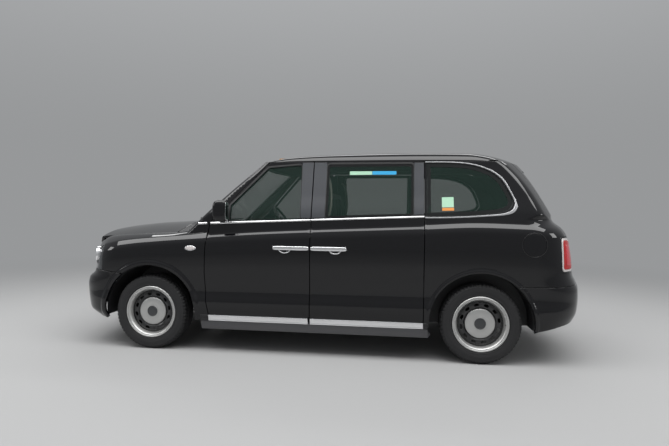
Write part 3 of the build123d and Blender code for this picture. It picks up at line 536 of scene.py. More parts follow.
def bonnet_sheet(run, y):
    """Bonnet height: a crowned section, rounded over into the nose. Within the lip's reach x grows as the run
    squared, so that the steep lip gets as many points as the flat top."""
    run = np.asarray(run, float)
    near = np.sign(run) * run ** 2 / (4 * LIP_REACH)
    x = bonnet_lip(y) + np.where(run < 2 * LIP_REACH, near, run - LIP_REACH)
    crown = bonnet_crown(x) - bonnet_drop(x) * (y / bonnet_half(x)) ** 2
    z = least(crown, nose_top(x, y), BONNET_CREASE)
    return np.stack([x + np.zeros(np.shape(z)), y + np.zeros(np.shape(z)), z], -1)


ROOF_CREASES = (0.06, 0.05, 0.10)
TABLE_TOP = 1.90
TOP_HALF = 0.640
SIDE_LEAN = 1.48


def roof_sheet(x, y):
    """Roof height: the crown, rounded into the leaning sides, the screen and the back of the cabin. Above the
    cabin's table its walls go on straight."""
    crown = roof_crown(x) - y ** 2 / (2 * ROOF_BOW)
    side = bisect(lambda z: -cabin_half(z), -np.abs(y), 1.2, 2.2)
    side = np.where(np.abs(y) < TOP_HALF, TABLE_TOP - SIDE_LEAN * (np.abs(y) - TOP_HALF), side)

    def ahead(z):
        bow = bows(z)[0]
        return screen_x(z) + bow - np.sqrt(bow ** 2 - y ** 2)

    def behind(z):
        bow = bows(z)[1]
        return -back_x(z) + bow - np.sqrt(bow ** 2 - y ** 2)

    front = bisect(ahead, x, 1.0, TABLE_TOP)
    front = np.where(front > TABLE_TOP - 1e-4, TABLE_TOP + np.maximum(x - ahead(TABLE_TOP), 0), front)
    rear = bisect(behind, -x, 1.0, TABLE_TOP)
    rear = np.where(rear > TABLE_TOP - 1e-4, TABLE_TOP + np.maximum(-x - behind(TABLE_TOP), 0), rear)
    z = crown
    for wall, crease in zip((side, front, rear), ROOF_CREASES):
        z = least(z, wall, crease)
    return np.stack([x + np.zeros(np.shape(z)), y + np.zeros(np.shape(z)), z], -1)


side_body, wing_body = body(False), body(True)
print("half width at the door handles, mm:", round(float(section_half(0.950)) * 1000))

# %% [markdown]
# ## Places on a sheet
# Shut lines are measured in side or end view, but a sheet is drawn by run and level. Newton's method finds
# the run and level that land on a measured point, for all points of an outline at once.

# %% From a view to the sheet


def solve(sheet, axis, target, start, h=1e-4):
    """Run and level at which the sheet meets (x or y, z) targets, by Newton's method on the two slopes:
    step = J^-1 (target - sheet), where J holds the finite differences."""
    run, level = start[:, 0].copy(), start[:, 1].copy()
    pick = (..., [axis, 2])
    for _ in range(30):
        here = sheet(run, level)[pick]
        along = (sheet(run + h, level)[pick] - here) / h
        up = (sheet(run, level + h)[pick] - here) / h
        miss = target - here
        scale = along[:, 0] * up[:, 1] - up[:, 0] * along[:, 1]
        scale = np.where(np.abs(scale) < 1e-3, 1e-3 * np.where(scale < 0, -1, 1), scale)
        run += np.clip((miss[:, 0] * up[:, 1] - up[:, 0] * miss[:, 1]) / scale, -0.12, 0.12)
        level += np.clip((along[:, 0] * miss[:, 1] - miss[:, 0] * along[:, 1]) / scale, -0.08, 0.08)
    worst = np.abs(target - sheet(run, level)[pick]).max()
    if worst > 5e-4:
        print(f"an outline misses its sheet by {worst * 1000:.1f} mm")
    return np.stack([run, level], -1)


def from_side(sheet, points):
    """Run and level of side-view points (x, z) on a sheet."""
    points = np.array(points, float)
    return solve(sheet, 0, points, points)


def from_end(sheet, points, way):
    """Run and level of end-view points (y, z) on a sheet, at the nose (way -1) or the tail (way 1)."""
    points = np.array(points, float)
    levels = np.linspace(0.22, 1.80, 80)[None]
    runs = bisect(lambda t: sheet(way * t, levels)[..., 1], points[:, :1] + 0 * levels, 1.2, 4.6)
    best = np.abs(sheet(way * runs, levels + 0 * runs)[..., 2] - points[:, 1:]).argmin(1)
    start = np.stack([way * runs[np.arange(len(best)), best], levels[0, best]], -1)
    return solve(sheet, 1, points, start)


print("sheets can be met from the side and from the ends")

# %% [markdown]
# ## Outlines
# An outline is a closed loop of close points: corners rounded by a radius, parts of circles, and loops moved
# inwards for a gap or a rolled edge.

# %% Loops and arcs


def rounded(corners, radii, step=0.018, steps=6):
    """Closed outline through the corners, each rounded by its radius, with points about a step apart."""
    corners = np.array(corners, float)
    radii = np.zeros(len(corners)) + radii
    loop = []
    for k, (corner, radius) in enumerate(zip(corners, radii)):
        back, on = corners[k - 1] - corner, corners[(k + 1) % len(corners)] - corner
        lb, lo = np.linalg.norm(back), np.linalg.norm(on)
        back, on = back / lb, on / lo
        angle = math.acos(np.clip(back @ on, -1, 1))
        if radius and angle < math.pi - 0.02:
            reach = min(radius / math.tan(angle / 2), 0.45 * lb, 0.45 * lo)
            true = reach * math.tan(angle / 2)
            middle = corner + (back + on) / np.linalg.norm(back + on) * (true / math.sin(angle / 2))
            first, last = corner + back * reach - middle, corner + on * reach - middle
            sweep = math.pi - angle
            for t in np.linspace(0, 1, steps + 1):
                a, b = math.sin((1 - t) * sweep), math.sin(t * sweep)
                loop.append(middle + a / math.sin(sweep) * first + b / math.sin(sweep) * last)
        else:
            loop.append(corner)
    loop = np.array(loop)
    dense = []
    for a, b in zip(loop, np.roll(loop, -1, 0)):
        count = max(int(np.ceil(np.linalg.norm(b - a) / step)), 1)
        dense += [a + (b - a) * t for t in np.arange(count) / count]
    return np.array(dense)


def arc(centre, radius, start, end, step=0.018):
    """Points on a circle from start to end, in degrees."""
    count = max(int(abs(math.radians(end - start)) * radius / step), 6)
    a = np.radians(np.linspace(start, end, count + 1))
    return np.stack([centre[0] + radius * np.cos(a), centre[1] + radius * np.sin(a)], -1)


def circle(centre, radius, count=48):
    """Closed circle of (across, up) points."""
    return rounded([(centre[0] + radius * math.cos(a), centre[1] + radius * math.sin(a))
                    for a in np.linspace(0, 2 * math.pi, count, endpoint=False)], 0)


def inset_loop(loop, amount):
    """Closed loop moved to its left by the amount, along the mean of its neighbours' directions."""
    along = np.roll(loop, -1, 0) - loop
    along /= np.linalg.norm(along, axis=1)[:, None] + 1e-12
    turn = along + np.roll(along, 1, 0)
    turn /= np.linalg.norm(turn, axis=1)[:, None] + 1e-12
    left = np.stack([-turn[:, 1], turn[:, 0]], -1)
    spread = np.maximum(np.sum(turn * along, 1), 0.5)[:, None]
    return loop + left * amount / spread


def area(loop):
    """Signed area of a closed loop, positive when it runs anticlockwise."""
    x, y = loop.T
    return 0.5 * np.sum(x * np.roll(y, -1) - np.roll(x, -1) * y)


def inside(points, loop):
    """Which points lie in the closed loop, by counting the edges that a ray crosses."""
    x, y = points[:, 0, None], points[:, 1, None]
    x0, y0 = loop.T
    x1, y1 = np.roll(loop, -1, 0).T
    crossing = ((y0 > y) != (y1 > y)) & (x < (x1 - x0) * (y - y0) / (y1 - y0 + 1e-15) + x0)
    return crossing.sum(1) % 2 == 1


print("area of a unit square, as a check:", area(np.array([(0, 0), (1, 0), (1, 1), (0, 1)])))

# %% [markdown]
# ## Panels cut from a sheet
# A panel is an outline on a sheet, with holes for windows and wheels. The outline and a grid of points are
# triangulated flat, in (run, level), and carried to the sheet. The edge is rolled over, and the panel gets a
# real thickness and a lining, so doors and lids look right from inside when they open.

# %% Cutting a panel


def sheet_normal(sheet, q, v, h=4e-4):
    """Outward unit normal from the cross product of the sheet's two slopes."""
    along = sheet(q + h, v) - sheet(q - h, v)
    up = sheet(q, v + h) - sheet(q, v - h)
    normal = np.cross(along, up)
    return normal / (np.linalg.norm(normal, axis=-1)[..., None] + 1e-15)


def add_mesh(name, points, faces, normals, finishes, which, rider, slot=None):
    """Mesh object from points and faces, with a normal for each face corner and a finish for each face."""
    mesh = bpy.data.meshes.new(name)
    mesh.from_pydata(np.asarray(points).tolist(), [], faces)
    for finish in finishes:
        mesh.materials.append(FINISHES[finish])
    mesh.polygons.foreach_set("material_index", np.array(which, np.int32))
    mesh.polygons.foreach_set("use_smooth", np.ones(len(faces), bool))
    if normals is not None:
        mesh.normals_split_custom_set(np.asarray(normals).tolist())
    mesh.update()
    piece = bpy.data.objects.new(name, mesh)
    scene.collection.objects.link(piece)
    slot or finishes[0]
    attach(piece, rider)
    return piece


def cut(sheet, outline, holes=(), thick=0.02, roll=0.003, lift=0.0, step=0.024, extra=None):
    """Closed thick shape cut from a sheet by an outline and holes, all in (run, level): points, triangles and
    their corner normals, where the lining begins, and the same for quads. Extra points make it finer."""
    outline = outline if area(outline) > 0 else outline[::-1]
    loops = [outline] + [h if area(h) < 0 else h[::-1] for h in holes]
    edges = [inset_loop(loop, roll) for loop in loops]
    low, high = outline.min(0), outline.max(0)
    across, up = np.arange(low[0], high[0], step), np.arange(low[1], high[1], step)
    grid = np.stack(np.meshgrid(across, up), -1).reshape(-1, 2)
    if extra is not None:
        crowd = np.array([np.linalg.norm(extra - point, axis=1).min() < 0.5 * step for point in grid])
        grid = np.concatenate([grid[~crowd], extra])
    keep = inside(grid, edges[0])
    for edge in edges[1:]:
        keep &= ~inside(grid, edge)
    grid = grid[keep]
    rim = np.concatenate(edges)
    for part in np.array_split(np.arange(len(rim)), max(len(rim) // 200, 1)):
        near = np.linalg.norm(grid[:, None] - rim[None, part], axis=2).min(1)
        grid = grid[near > (0.45 * step if extra is None else 0.2 * step)]
    flat = np.concatenate([rim, grid])
    links, at = [], 0
    for edge in edges:
        ids = np.arange(at, at + len(edge))
        links.append(np.stack([ids, np.roll(ids, -1)], -1))
        at += len(edge)
    links = np.concatenate(links)
    solved = delaunay_2d_cdt([Vector(p) for p in flat.tolist()], links.tolist(), [], 1, 1e-7)
    came = np.array([ids[0] if ids else -1 for ids in solved[3]])
    tris = came[np.array(solved[2])]
    tris = tris[(tris >= 0).all(1)]
    middle = flat[tris].mean(1)
    good = inside(middle, edges[0])
    for edge in edges[1:]:
        good &= ~inside(middle, edge)
    tris = tris[good]
    a, b, c = flat[tris[:, 0]], flat[tris[:, 1]], flat[tris[:, 2]]
    turn = (b - a)[:, 0] * (c - a)[:, 1] - (b - a)[:, 1] * (c - a)[:, 0]
    tris = np.where(turn[:, None] > 0, tris, tris[:, ::-1])[np.abs(turn) > 1e-12]

    where = np.concatenate([flat, np.concatenate(loops)])
    base, out = sheet(where[:, 0], where[:, 1]), sheet_normal(sheet, where[:, 0], where[:, 1])
    n, m = len(flat), len(rim)
    across = base[n:] - base[:m]
    across -= np.sum(across * out[n:], 1)[:, None] * out[n:]
    across /= np.linalg.norm(across, axis=1)[:, None] + 1e-12
    points = np.concatenate([base[:n] + out[:n] * lift, base[n:] + out[n:] * (lift - 0.8 * roll),
                             base[n:] + out[n:] * (lift - thick), base[:n] + out[:n] * (lift - thick)])
    over = across * 0.85 + out[n:] * 0.5
    over /= np.linalg.norm(over, axis=1)[:, None]
    i, j = links.T
    quads = np.concatenate([np.stack([i, n + i, n + j, j], -1),
                            np.stack([n + i, n + m + i, n + m + j, n + j], -1),
                            np.stack([n + m + i, n + 2 * m + i, n + 2 * m + j, n + m + j], -1)])
    quad_normals = np.concatenate([np.stack([out[i], over[i], over[j], out[j]], 1),
                                   np.stack([over[i], across[i], across[j], over[j]], 1),
                                   np.stack([-out[i], -out[i], -out[j], -out[j]], 1)])
    back = tris[:, ::-1]
    all_tris = np.concatenate([tris, back + n + 2 * m])
    tri_normals = np.concatenate([out[tris], -out[back]])
    return points, all_tris, tri_normals, len(tris), quads, quad_normals, 2 * len(links)


def panel(name, shape, rider="root", finish="paint_black", lining="trim_black", mirror=False, slot=None):
    """Object made from a cut shape, on the left side as given or mirrored to the right."""
    points, tris, tri_normals, tri_lining, quads, quad_normals, quad_lining = shape
    if mirror:
        points, tris, quads = points * (1, -1, 1), tris[:, ::-1], quads[:, ::-1]
        tri_normals, quad_normals = tri_normals[:, ::-1] * (1, -1, 1), quad_normals[:, ::-1] * (1, -1, 1)
    which = np.concatenate([np.arange(len(tris)) >= tri_lining, np.arange(len(quads)) >= quad_lining])
    normals = np.concatenate([tri_normals.reshape(-1, 3), quad_normals.reshape(-1, 3)])
    faces = tris.tolist() + quads.tolist()
    return add_mesh(name, points, faces, normals, [finish, lining], which, rider, slot)


SKIN = 0.03
DOOR_SKIN = 0.05
PANE = (0.005, 0.0005)
print("panel thickness, mm:", SKIN * 1000, "and pane thickness, mm:", PANE[0] * 1000)

# %% [markdown]
# ## Sides
# Doors, wings and quarters meet at gaps of a few millimetres. Each outline is given in side view, where the
# shut lines were measured, and unrolled on to its sheet.

# %% Outlines in side view
DOOR_FRONT = [(-0.979, 0.345), (-1.003, 0.480), (-1.018, 0.720), (-1.010, 0.960), (-0.985, 1.186),
              (-0.452, 1.756), (-0.045, 1.756), (-0.045, 0.345)]
DOOR_REAR = [(-0.045, 0.345), (-0.045, 1.756), (0.951, 1.756), (0.951, 0.345)]
FRONT_GLASS = [(-0.800, 1.195), (-0.800, 1.345), (-0.470, 1.698), (-0.154, 1.726), (-0.141, 1.222)]
REAR_GLASS = [(0.078, 1.232), (0.078, 1.730), (0.860, 1.735), (0.860, 1.264)]
QUARTER_RIM = [(0.957, 1.247), (1.115, 1.2495), (1.316, 1.258), (1.516, 1.272), (1.630, 1.283),
               (1.697, 1.305), (1.729, 1.350), (1.724, 1.400), (1.701, 1.455), (1.674, 1.512),
               (1.643, 1.572), (1.604, 1.620), (1.537, 1.671), (1.453, 1.708), (1.364, 1.732),
               (1.260, 1.746), (1.121, 1.7515), (0.957, 1.7515)]
QUARTER_OPEN = [(0.972, 1.266), (1.115, 1.2685), (1.316, 1.278), (1.510, 1.294), (1.600, 1.309),
                (1.660, 1.335), (1.690, 1.380), (1.688, 1.420), (1.669, 1.470), (1.645, 1.518),
                (1.615, 1.570), (1.582, 1.610), (1.520, 1.657), (1.441, 1.693), (1.357, 1.717),
                (1.257, 1.731), (1.121, 1.7375), (0.972, 1.7375)]
ROOF_SEAM_Z = 1.756
LAMP_BACK_X = -2.03
TAIL_LAMP_X = 2.088
TAIL_LAMP_Z = (0.793, 1.105)
TAILGATE_Y = 0.693
BUMPER_SEAM_Z = 0.688
FLAP_CENTRE = (1.856, 1.036)
FLAP_R = 0.098
FLAP_HOLE_R = 0.101
WINDOW_RADII = {"front": [0.02, 0.03, 0.03, 0.02, 0.02], "rear": 0.03}
RING_RADII = (0.447, 0.453, 0.459, 0.465, 0.471, 0.478, 0.486, 0.495, 0.506)
print("gap round a door, mm:", round(GAP * 1000, 1))

# %% [markdown]
# ## Lines on the sheets
# Each line of the side view is carried to its sheet point by point. The quarter window follows a smooth curve
# through measured points, and the arches get rings of extra points for their lips.

# %% Lines, curves and rings


def side_loop(sheet, corners, radii=0.0, gap=0.0, step=0.022):
    """Side-view outline, rounded and set in by a gap, as a closed loop on a sheet."""
    loop = rounded(corners, radii, step)
    loop = loop if area(loop) > 0 else loop[::-1]
    return from_side(sheet, inset_loop(loop, gap))


def divided(points, step=0.022):
    """The same open line with points about a step apart."""
    points = np.array(points, float)
    out = [points[:1]]
    for a, b in zip(points, points[1:]):
        count = max(int(np.ceil(np.linalg.norm(b - a) / step)), 1)
        out.append(a + (b - a) * (np.arange(1, count + 1) / count)[:, None])
    return np.concatenate(out)


def joined(*lines):
    """Closed loop of (run, level) lines end to end, divided evenly and without doubled points."""
    loop = divided(np.concatenate(lines + (lines[0][:1],)))
    keep = np.linalg.norm(loop - np.roll(loop, 1, 0), axis=1) > 1e-4
    return loop[keep]


def other_side(sheet, line, way):
    """A (run, level) line mirrored about the middle of the nose (way -1) or tail (way 1), end to start."""
    q, v = line.T
    middle = way * bisect(lambda t: sheet(way * t, v)[..., 1], np.zeros(len(v)), 1.2, 4.6)
    return np.stack([2 * middle - q, v], -1)[::-1]


def flowing(points, steps=6, corners=()):
    """Closed curve through points by Catmull-Rom, p = c0 + c1 t + c2 t^2 + c3 t^3, sharp at given corners."""
    points = np.array(points, float)
    out, count = [], len(points)
    for k in range(count):
        a, b, c, d = points[k - 1], points[k], points[(k + 1) % count], points[(k + 2) % count]
        m0 = (c - b) if k in corners else (c - a) / 2
        m1 = (c - b) if (k + 1) % count in corners else (d - b) / 2
        for t in np.arange(steps) / steps:
            out.append((2 * t ** 3 - 3 * t ** 2 + 1) * b + (t ** 3 - 2 * t ** 2 + t) * m0
                       + (3 * t ** 2 - 2 * t ** 3) * c + (t ** 3 - t ** 2) * m1)
    return np.array(out)


def arch_rings(sheet, axle_x, start, end):
    """Points in rings round a wheel arch, close enough for its flared lip."""
    return np.concatenate([from_side(sheet, arc((axle_x, WHEEL_R), radius, start, end, 0.022))
                           for radius in RING_RADII])


wing_rings = arch_rings(wing_body, WHEELS_X[0], 200, -10)
quarter_rings = arch_rings(side_body, WHEELS_X[1], 190, -10)
band_runs, band_levels = np.arange(1.60, 3.80, 0.018), np.arange(1.128, 1.232, 0.0075)
tail_band = np.stack(np.meshgrid(band_runs, band_levels), -1).reshape(-1, 2)
door_loops = {
    "front": (side_loop(side_body, DOOR_FRONT, [0.03, 0, 0.2, 0.2, 0.05, 0.03, 0.02, 0.02], GAP),
              side_loop(side_body, FRONT_GLASS, WINDOW_RADII["front"])),
    "rear": (side_loop(side_body, DOOR_REAR, 0.02, GAP),
             side_loop(side_body, REAR_GLASS, WINDOW_RADII["rear"])),
}
quarter_window = from_side(side_body, flowing(QUARTER_OPEN, 5, (0, 17)))
print("points round the quarter window:", len(quarter_window))

# %% [markdown]
# ## Doors, wings and quarters
# A wing runs from the door to the headlamp and up to the bonnet. A quarter runs from the rear door round the
# corner to the tailgate. The right side is the left one mirrored, but for the fuel flap, which is only on the
# left.

# %% Doors, wings and quarters
front_axle, rear_axle = WHEELS_X
front_arch = arc((front_axle, WHEEL_R), ARCH_R, 128.4, -7.2)
bonnet_edge_x = np.linspace(-1.02, -2.16, 40)
wing_loop = joined(
    from_side(wing_body, front_arch),
    from_side(wing_body, divided([(-0.982, 0.293), (-0.982, 0.345), (-1.006, 0.480), (-1.021, 0.720),
                                  (-1.013, 0.960), (-1.005, 1.05)])),
    np.stack([bonnet_edge_x, 0 * bonnet_edge_x + WING_TOP_V], -1),
    from_end(wing_body, [(-0.60, LAMP_TOP_Z)], -1),
    from_side(wing_body, [(LAMP_BACK_X, LAMP_TOP_Z), (LAMP_BACK_X, 0.722), (-1.859, 0.709), (-1.822, 0.693)]))
quarter_loop = joined(
    from_side(side_body, divided([(0.954, ROOF_SEAM_Z - 0.002), (0.954, 0.293), (1.0, 0.293)])),
    from_side(side_body, arc((rear_axle, WHEEL_R), ARCH_R, 187.2, 48.9)),
    from_side(side_body, [(1.80, 0.679)]),
    from_end(side_body, divided([(-0.80, BUMPER_SEAM_Z), (-TAILGATE_Y - GAP, BUMPER_SEAM_Z),
                                 (-TAILGATE_Y - GAP, TAIL_LAMP_Z[0])]), 1),
    from_side(side_body, divided([(TAIL_LAMP_X, TAIL_LAMP_Z[0]), (TAIL_LAMP_X, TAIL_LAMP_Z[1])])),
    from_end(side_body, divided([(-TAILGATE_Y - GAP, TAIL_LAMP_Z[1]), (-TAILGATE_Y - GAP, 1.23),
                                 (-0.569, ROOF_SEAM_Z - 0.002)]), 1))
flap_hole = from_side(side_body, circle(FLAP_CENTRE, FLAP_HOLE_R))
flap_loop = from_side(side_body, circle(FLAP_CENTRE, FLAP_R))
quarter_extra = np.concatenate([quarter_rings, tail_band])
skins = {"wing": cut(wing_body, wing_loop, [], SKIN, extra=wing_rings),
         "quarter_left": cut(side_body, quarter_loop, [quarter_window, flap_hole], SKIN, extra=quarter_extra),
         "quarter_right": cut(side_body, quarter_loop, [quarter_window], SKIN, extra=quarter_extra),
         "quarter_glass": cut(side_body, quarter_window, [], *PANE, -0.006)}
for place, (edge, window) in door_loops.items():
    skins[f"door_{place}"] = cut(side_body, edge, [window], DOOR_SKIN)
    skins[f"glass_{place}"] = cut(side_body, window, [], *PANE, -0.006)
for side, mirror in (("left", False), ("right", True)):
    for place in door_loops:
        rider = f"door_{place}_{side}"
        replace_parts(panel(f"{rider}_skin", skins[f"door_{place}"], rider, mirror=mirror), rider)
        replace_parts(panel(f"glass_{place}_{side}_pane", skins[f"glass_{place}"], rider, "glass_tint",
                          "glass_tint", mirror), f"glass_{place}_{side}")
    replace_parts(panel(f"wing_{side}_skin", skins["wing"], "body", mirror=mirror), f"wing_{side}")
    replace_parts(panel(f"quarter_{side}_skin", skins[f"quarter_{side}"], "body", mirror=mirror),
                f"quarter_{side}")
    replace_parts(panel(f"quarter_{side}_pane", skins["quarter_glass"], "body", "glass_tint", "glass_tint",
                      mirror), "quarter_glass")
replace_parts(panel("fuel_flap_skin", cut(side_body, flap_loop, [], 0.01), "fuel_flap"), "fuel_flap")

# %% [markdown]
# ## Bumpers and tailgate
# The front bumper goes round the whole nose, from arch to arch, with two long intakes. The rear one does the
# same at the tail. The tailgate lies between the quarters, from the bumper to the roof, with its pane in a
# rounded hole.

# %% Bumpers
bumper_foot = [(-1.981, 0.272), (-2.10, 0.268), (-2.20, 0.285)]
half_bumper = np.concatenate([
    from_end(wing_body, divided([(0.0, 0.7255), (-0.50, 0.7255)]), -1),
    from_side(wing_body, divided([(-2.115, 0.7235), (-2.03, 0.7190), (-1.859, 0.703), (-1.822, 0.688)])),
    from_side(wing_body, arc((front_axle, WHEEL_R), ARCH_R, 129.0, 189.5)),
    from_side(wing_body, divided(bumper_foot)),
    from_end(wing_body, divided([(-0.55, 0.30), (0.0, 0.31)]), -1)])
front_bumper = joined(half_bumper, other_side(wing_body, half_bumper, -1))


def nose_slot(half, z, height, radius):
    """Long rounded slot across the nose, as a loop on the wing sheet."""
    return from_end(wing_body, rounded([(-half, z - height / 2), (half, z - height / 2), (half, z + height / 2),
                                        (-half, z + height / 2)], radius), -1)


intakes = [nose_slot(0.41, 0.61, 0.070, 0.034), nose_slot(0.49, 0.45, 0.090, 0.044)]
front_shape = cut(wing_body, front_bumper, intakes, SKIN, extra=wing_rings)
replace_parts(panel("front_bumper_skin", front_shape, "body"), "front_bumper")
half_rear = np.concatenate([
    from_end(side_body, divided([(0.0, 0.40), (-0.40, 0.39), (-0.62, 0.375)]), 1),
    from_side(side_body, divided([(2.109, 0.345), (1.87, 0.292)])),
    from_side(side_body, arc((rear_axle, WHEEL_R), ARCH_R, -6.9, 48.3)),
    from_side(side_body, [(1.80, 0.674)]),
    from_end(side_body, divided([(-0.80, BUMPER_SEAM_Z - GAP), (0.0, BUMPER_SEAM_Z - GAP)]), 1)])
rear_bumper = joined(half_rear, other_side(side_body, half_rear, 1))
rear_shape = cut(side_body, rear_bumper, [], SKIN, extra=quarter_rings)
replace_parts(panel("rear_bumper_skin", rear_shape, "body"), "rear_bumper")
print("points round the front bumper:", len(front_bumper), "and the rear one:", len(rear_bumper))

# %% Tailgate
half_gate = from_end(side_body, divided([(0.0, BUMPER_SEAM_Z + GAP), (-TAILGATE_Y + GAP, BUMPER_SEAM_Z + GAP),
                                         (-TAILGATE_Y + GAP, 1.23), (-0.563, ROOF_SEAM_Z),
                                         (0.0, ROOF_SEAM_Z)]), 1)
gate = joined(half_gate, other_side(side_body, half_gate, 1))
gate_window = from_end(side_body, rounded([(-0.59, 1.29), (-0.49, 1.69), (0.49, 1.69), (0.59, 1.29)], 0.05), 1)
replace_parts(panel("tailgate_skin", cut(side_body, gate, [gate_window], 0.04, extra=tail_band), "tailgate"),
            "tailgate")
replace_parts(panel("tailgate_pane", cut(side_body, gate_window, [], *PANE, -0.004), "tailgate", "glass_tint",
                  "glass_tint"), "tailgate_glass")
print("points round the tailgate:", len(gate))

# %% [markdown]
# ## Windscreen and roof
# The windscreen's frame is cut from the cabin's sheet, from the roof down both sides to the bonnet. The roof
# is cut from its own sheet, and the part behind the hinge line rides on the tailgate as its upper lip.

# %% Windscreen and its frame
half_frame = from_side(cabin, divided([(-0.455, ROOF_SEAM_Z - 0.001), (-0.988, 1.186), (-1.006, 1.075)]))
frame_loop = joined(half_frame, other_side(cabin, half_frame, -1))
screen = from_end(cabin, rounded([(-0.74, 1.17), (-0.69, 1.40), (-0.62, 1.735), (0.62, 1.735), (0.69, 1.40),
                                  (0.74, 1.17)], [0.05, 0, 0.06, 0.06, 0, 0.05]), -1)
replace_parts(panel("pillars_skin", cut(cabin, frame_loop, [screen], SKIN), "body", lining="headliner"),
            "pillars")
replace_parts(panel("windscreen_pane", cut(cabin, screen, [], *PANE, -0.005), "body", "glass_tint",
                  "glass_tint"), "windscreen")
print("points round the windscreen:", len(screen))

# %% Roof and the tailgate's upper lip
HATCH_X = 1.735
HATCH_SLACK = 0.004


def roof_edge(z, y, way):
    """x at which the cabin's front (way -1) or rear (way 1) reaches height z at y."""
    bow = bows(z)[0 if way < 0 else 1]
    centre = (screen_x if way < 0 else back_x)(z)
    return centre - way * (bow - np.sqrt(bow ** 2 - np.asarray(y) ** 2))


side_y = float(cabin_half(ROOF_SEAM_Z))
front_y = np.linspace(0.70, -0.70, 60)
back_y = np.linspace(-0.66, -0.572, 6)
roof_half = np.concatenate([
    np.stack([roof_edge(ROOF_SEAM_Z, front_y, -1), front_y], -1)[30:],
    [(-0.44, -side_y), (1.50, -side_y)],
    np.stack([roof_edge(ROOF_SEAM_Z, back_y, 1), back_y], -1),
    [(HATCH_X + 0.02, -0.566), (HATCH_X, -0.545), (HATCH_X, 0.0)]])
roof_loop = joined(roof_half, (roof_half * (1, -1))[::-1])
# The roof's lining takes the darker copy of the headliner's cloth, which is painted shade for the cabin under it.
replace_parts(panel("roof_skin", cut(roof_sheet, roof_loop, [], SKIN, step=0.018), "body",
                  lining="headliner_painted_shade"), "roof_panel")
lip_y = np.linspace(-0.562, 0.562, 40)
lip_loop = joined(np.stack([roof_edge(ROOF_SEAM_Z, lip_y, 1), lip_y], -1),
                  np.array([(HATCH_X + 0.02, 0.560), (HATCH_X + HATCH_SLACK, 0.54),
                            (HATCH_X + HATCH_SLACK, -0.54), (HATCH_X + 0.02, -0.560)]))
panel("tailgate_lip_skin", cut(roof_sheet, lip_loop, [], SKIN, step=0.018), "tailgate")
print("half width of the roof at its seam, mm:", round(side_y * 1000))

# %% [markdown]
# ## Bonnet and cowl
# The bonnet's sides follow its width table and its front edge the bowed nose. Behind it a black cowl fills
# the crescent up to the windscreen. Where the two meet is found by averaging each guess with the screen's
# place at the bonnet's height, until it stands still.

# %% Bonnet and cowl
BONNET_END_X = -1.336
COWL_X = -1.325
bonnet_x = np.linspace(BONNET_END_X, -2.16, 50)
bonnet_y = bonnet_half(bonnet_x) - GAP
nose_y = np.linspace(-0.60, 0.60, 80)
bonnet_side = np.stack([bonnet_run(bonnet_x, bonnet_y), -bonnet_y], -1)
rear_y = np.linspace(bonnet_y[0], -bonnet_y[0], 60)
bonnet_loop = joined(bonnet_side, np.stack([0.004 + 0 * nose_y, nose_y], -1), (bonnet_side * (1, -1))[::-1],
                     np.stack([bonnet_run(BONNET_END_X, rear_y), rear_y], -1))
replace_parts(panel("bonnet_skin", cut(bonnet_sheet, bonnet_loop, [], 0.022, step=0.0125), "bonnet"), "bonnet")
cowl_y = np.linspace(-0.80, 0.80, 60)
cowl_x = np.full(60, -1.24)
for _ in range(30):
    height = bonnet_sheet(bonnet_run(cowl_x, cowl_y), cowl_y)[:, 2]
    cowl_x = 0.5 * cowl_x + 0.5 * roof_edge(height, cowl_y, -1)
cowl_loop = joined(np.stack([bonnet_run(cowl_x - 0.004, cowl_y), cowl_y], -1),
                   np.stack([bonnet_run(COWL_X + 0 * cowl_y, cowl_y), cowl_y], -1)[::-1])
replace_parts(panel("cowl_skin", cut(bonnet_sheet, cowl_loop, [], 0.010, 0.002, step=0.02), "body",
                  "trim_black"), "scuttle")
print("cowl width in the middle, mm:", round(float(cowl_x[30] - COWL_X) * 1000))

# %% [markdown]
# ## Turned and carried shapes
# Wheels are a profile spun about an axle, and bright strips are a profile carried along a line on the body.
# Both are grids of points, so one helper turns a grid into a closed mesh with crisp edges where it bends.

# %% Grids made into meshes


def surface(name, grid, rider, finish, wrap=(True, True), caps=False, sharp=35, slot=None):
    """Mesh over a grid of points: quads between neighbours, wrapped or capped at its ends, doubles merged."""
    a, b = grid.shape[:2]
    ids = np.arange(a * b).reshape(a, b)
    ids = np.concatenate([ids, ids[:1]]) if wrap[0] else ids
    ids = np.concatenate([ids, ids[:, :1]], 1) if wrap[1] else ids
    faces = np.stack([ids[:-1, :-1], ids[1:, :-1], ids[1:, 1:], ids[:-1, 1:]], -1).reshape(-1, 4).tolist()
    if caps:
        faces += [list(range(b))[::-1], list(range((a - 1) * b, a * b))]
    mesh = bpy.data.meshes.new(name)
    mesh.from_pydata(grid.reshape(-1, 3).tolist(), [], faces)
    mesh.materials.append(FINISHES[finish])
    work = bmesh.new()
    work.from_mesh(mesh)
    bmesh.ops.remove_doubles(work, verts=work.verts, dist=1e-6)
    bmesh.ops.dissolve_degenerate(work, edges=work.edges, dist=1e-7)
    bmesh.ops.recalc_face_normals(work, faces=work.faces)
    work.to_mesh(mesh)
    work.free()
    mesh.shade_smooth()
    mesh.set_sharp_from_angle(angle=math.radians(sharp))
    piece = bpy.data.objects.new(name, mesh)
    scene.collection.objects.link(piece)
    slot or finish
    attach(piece, rider)
    return piece


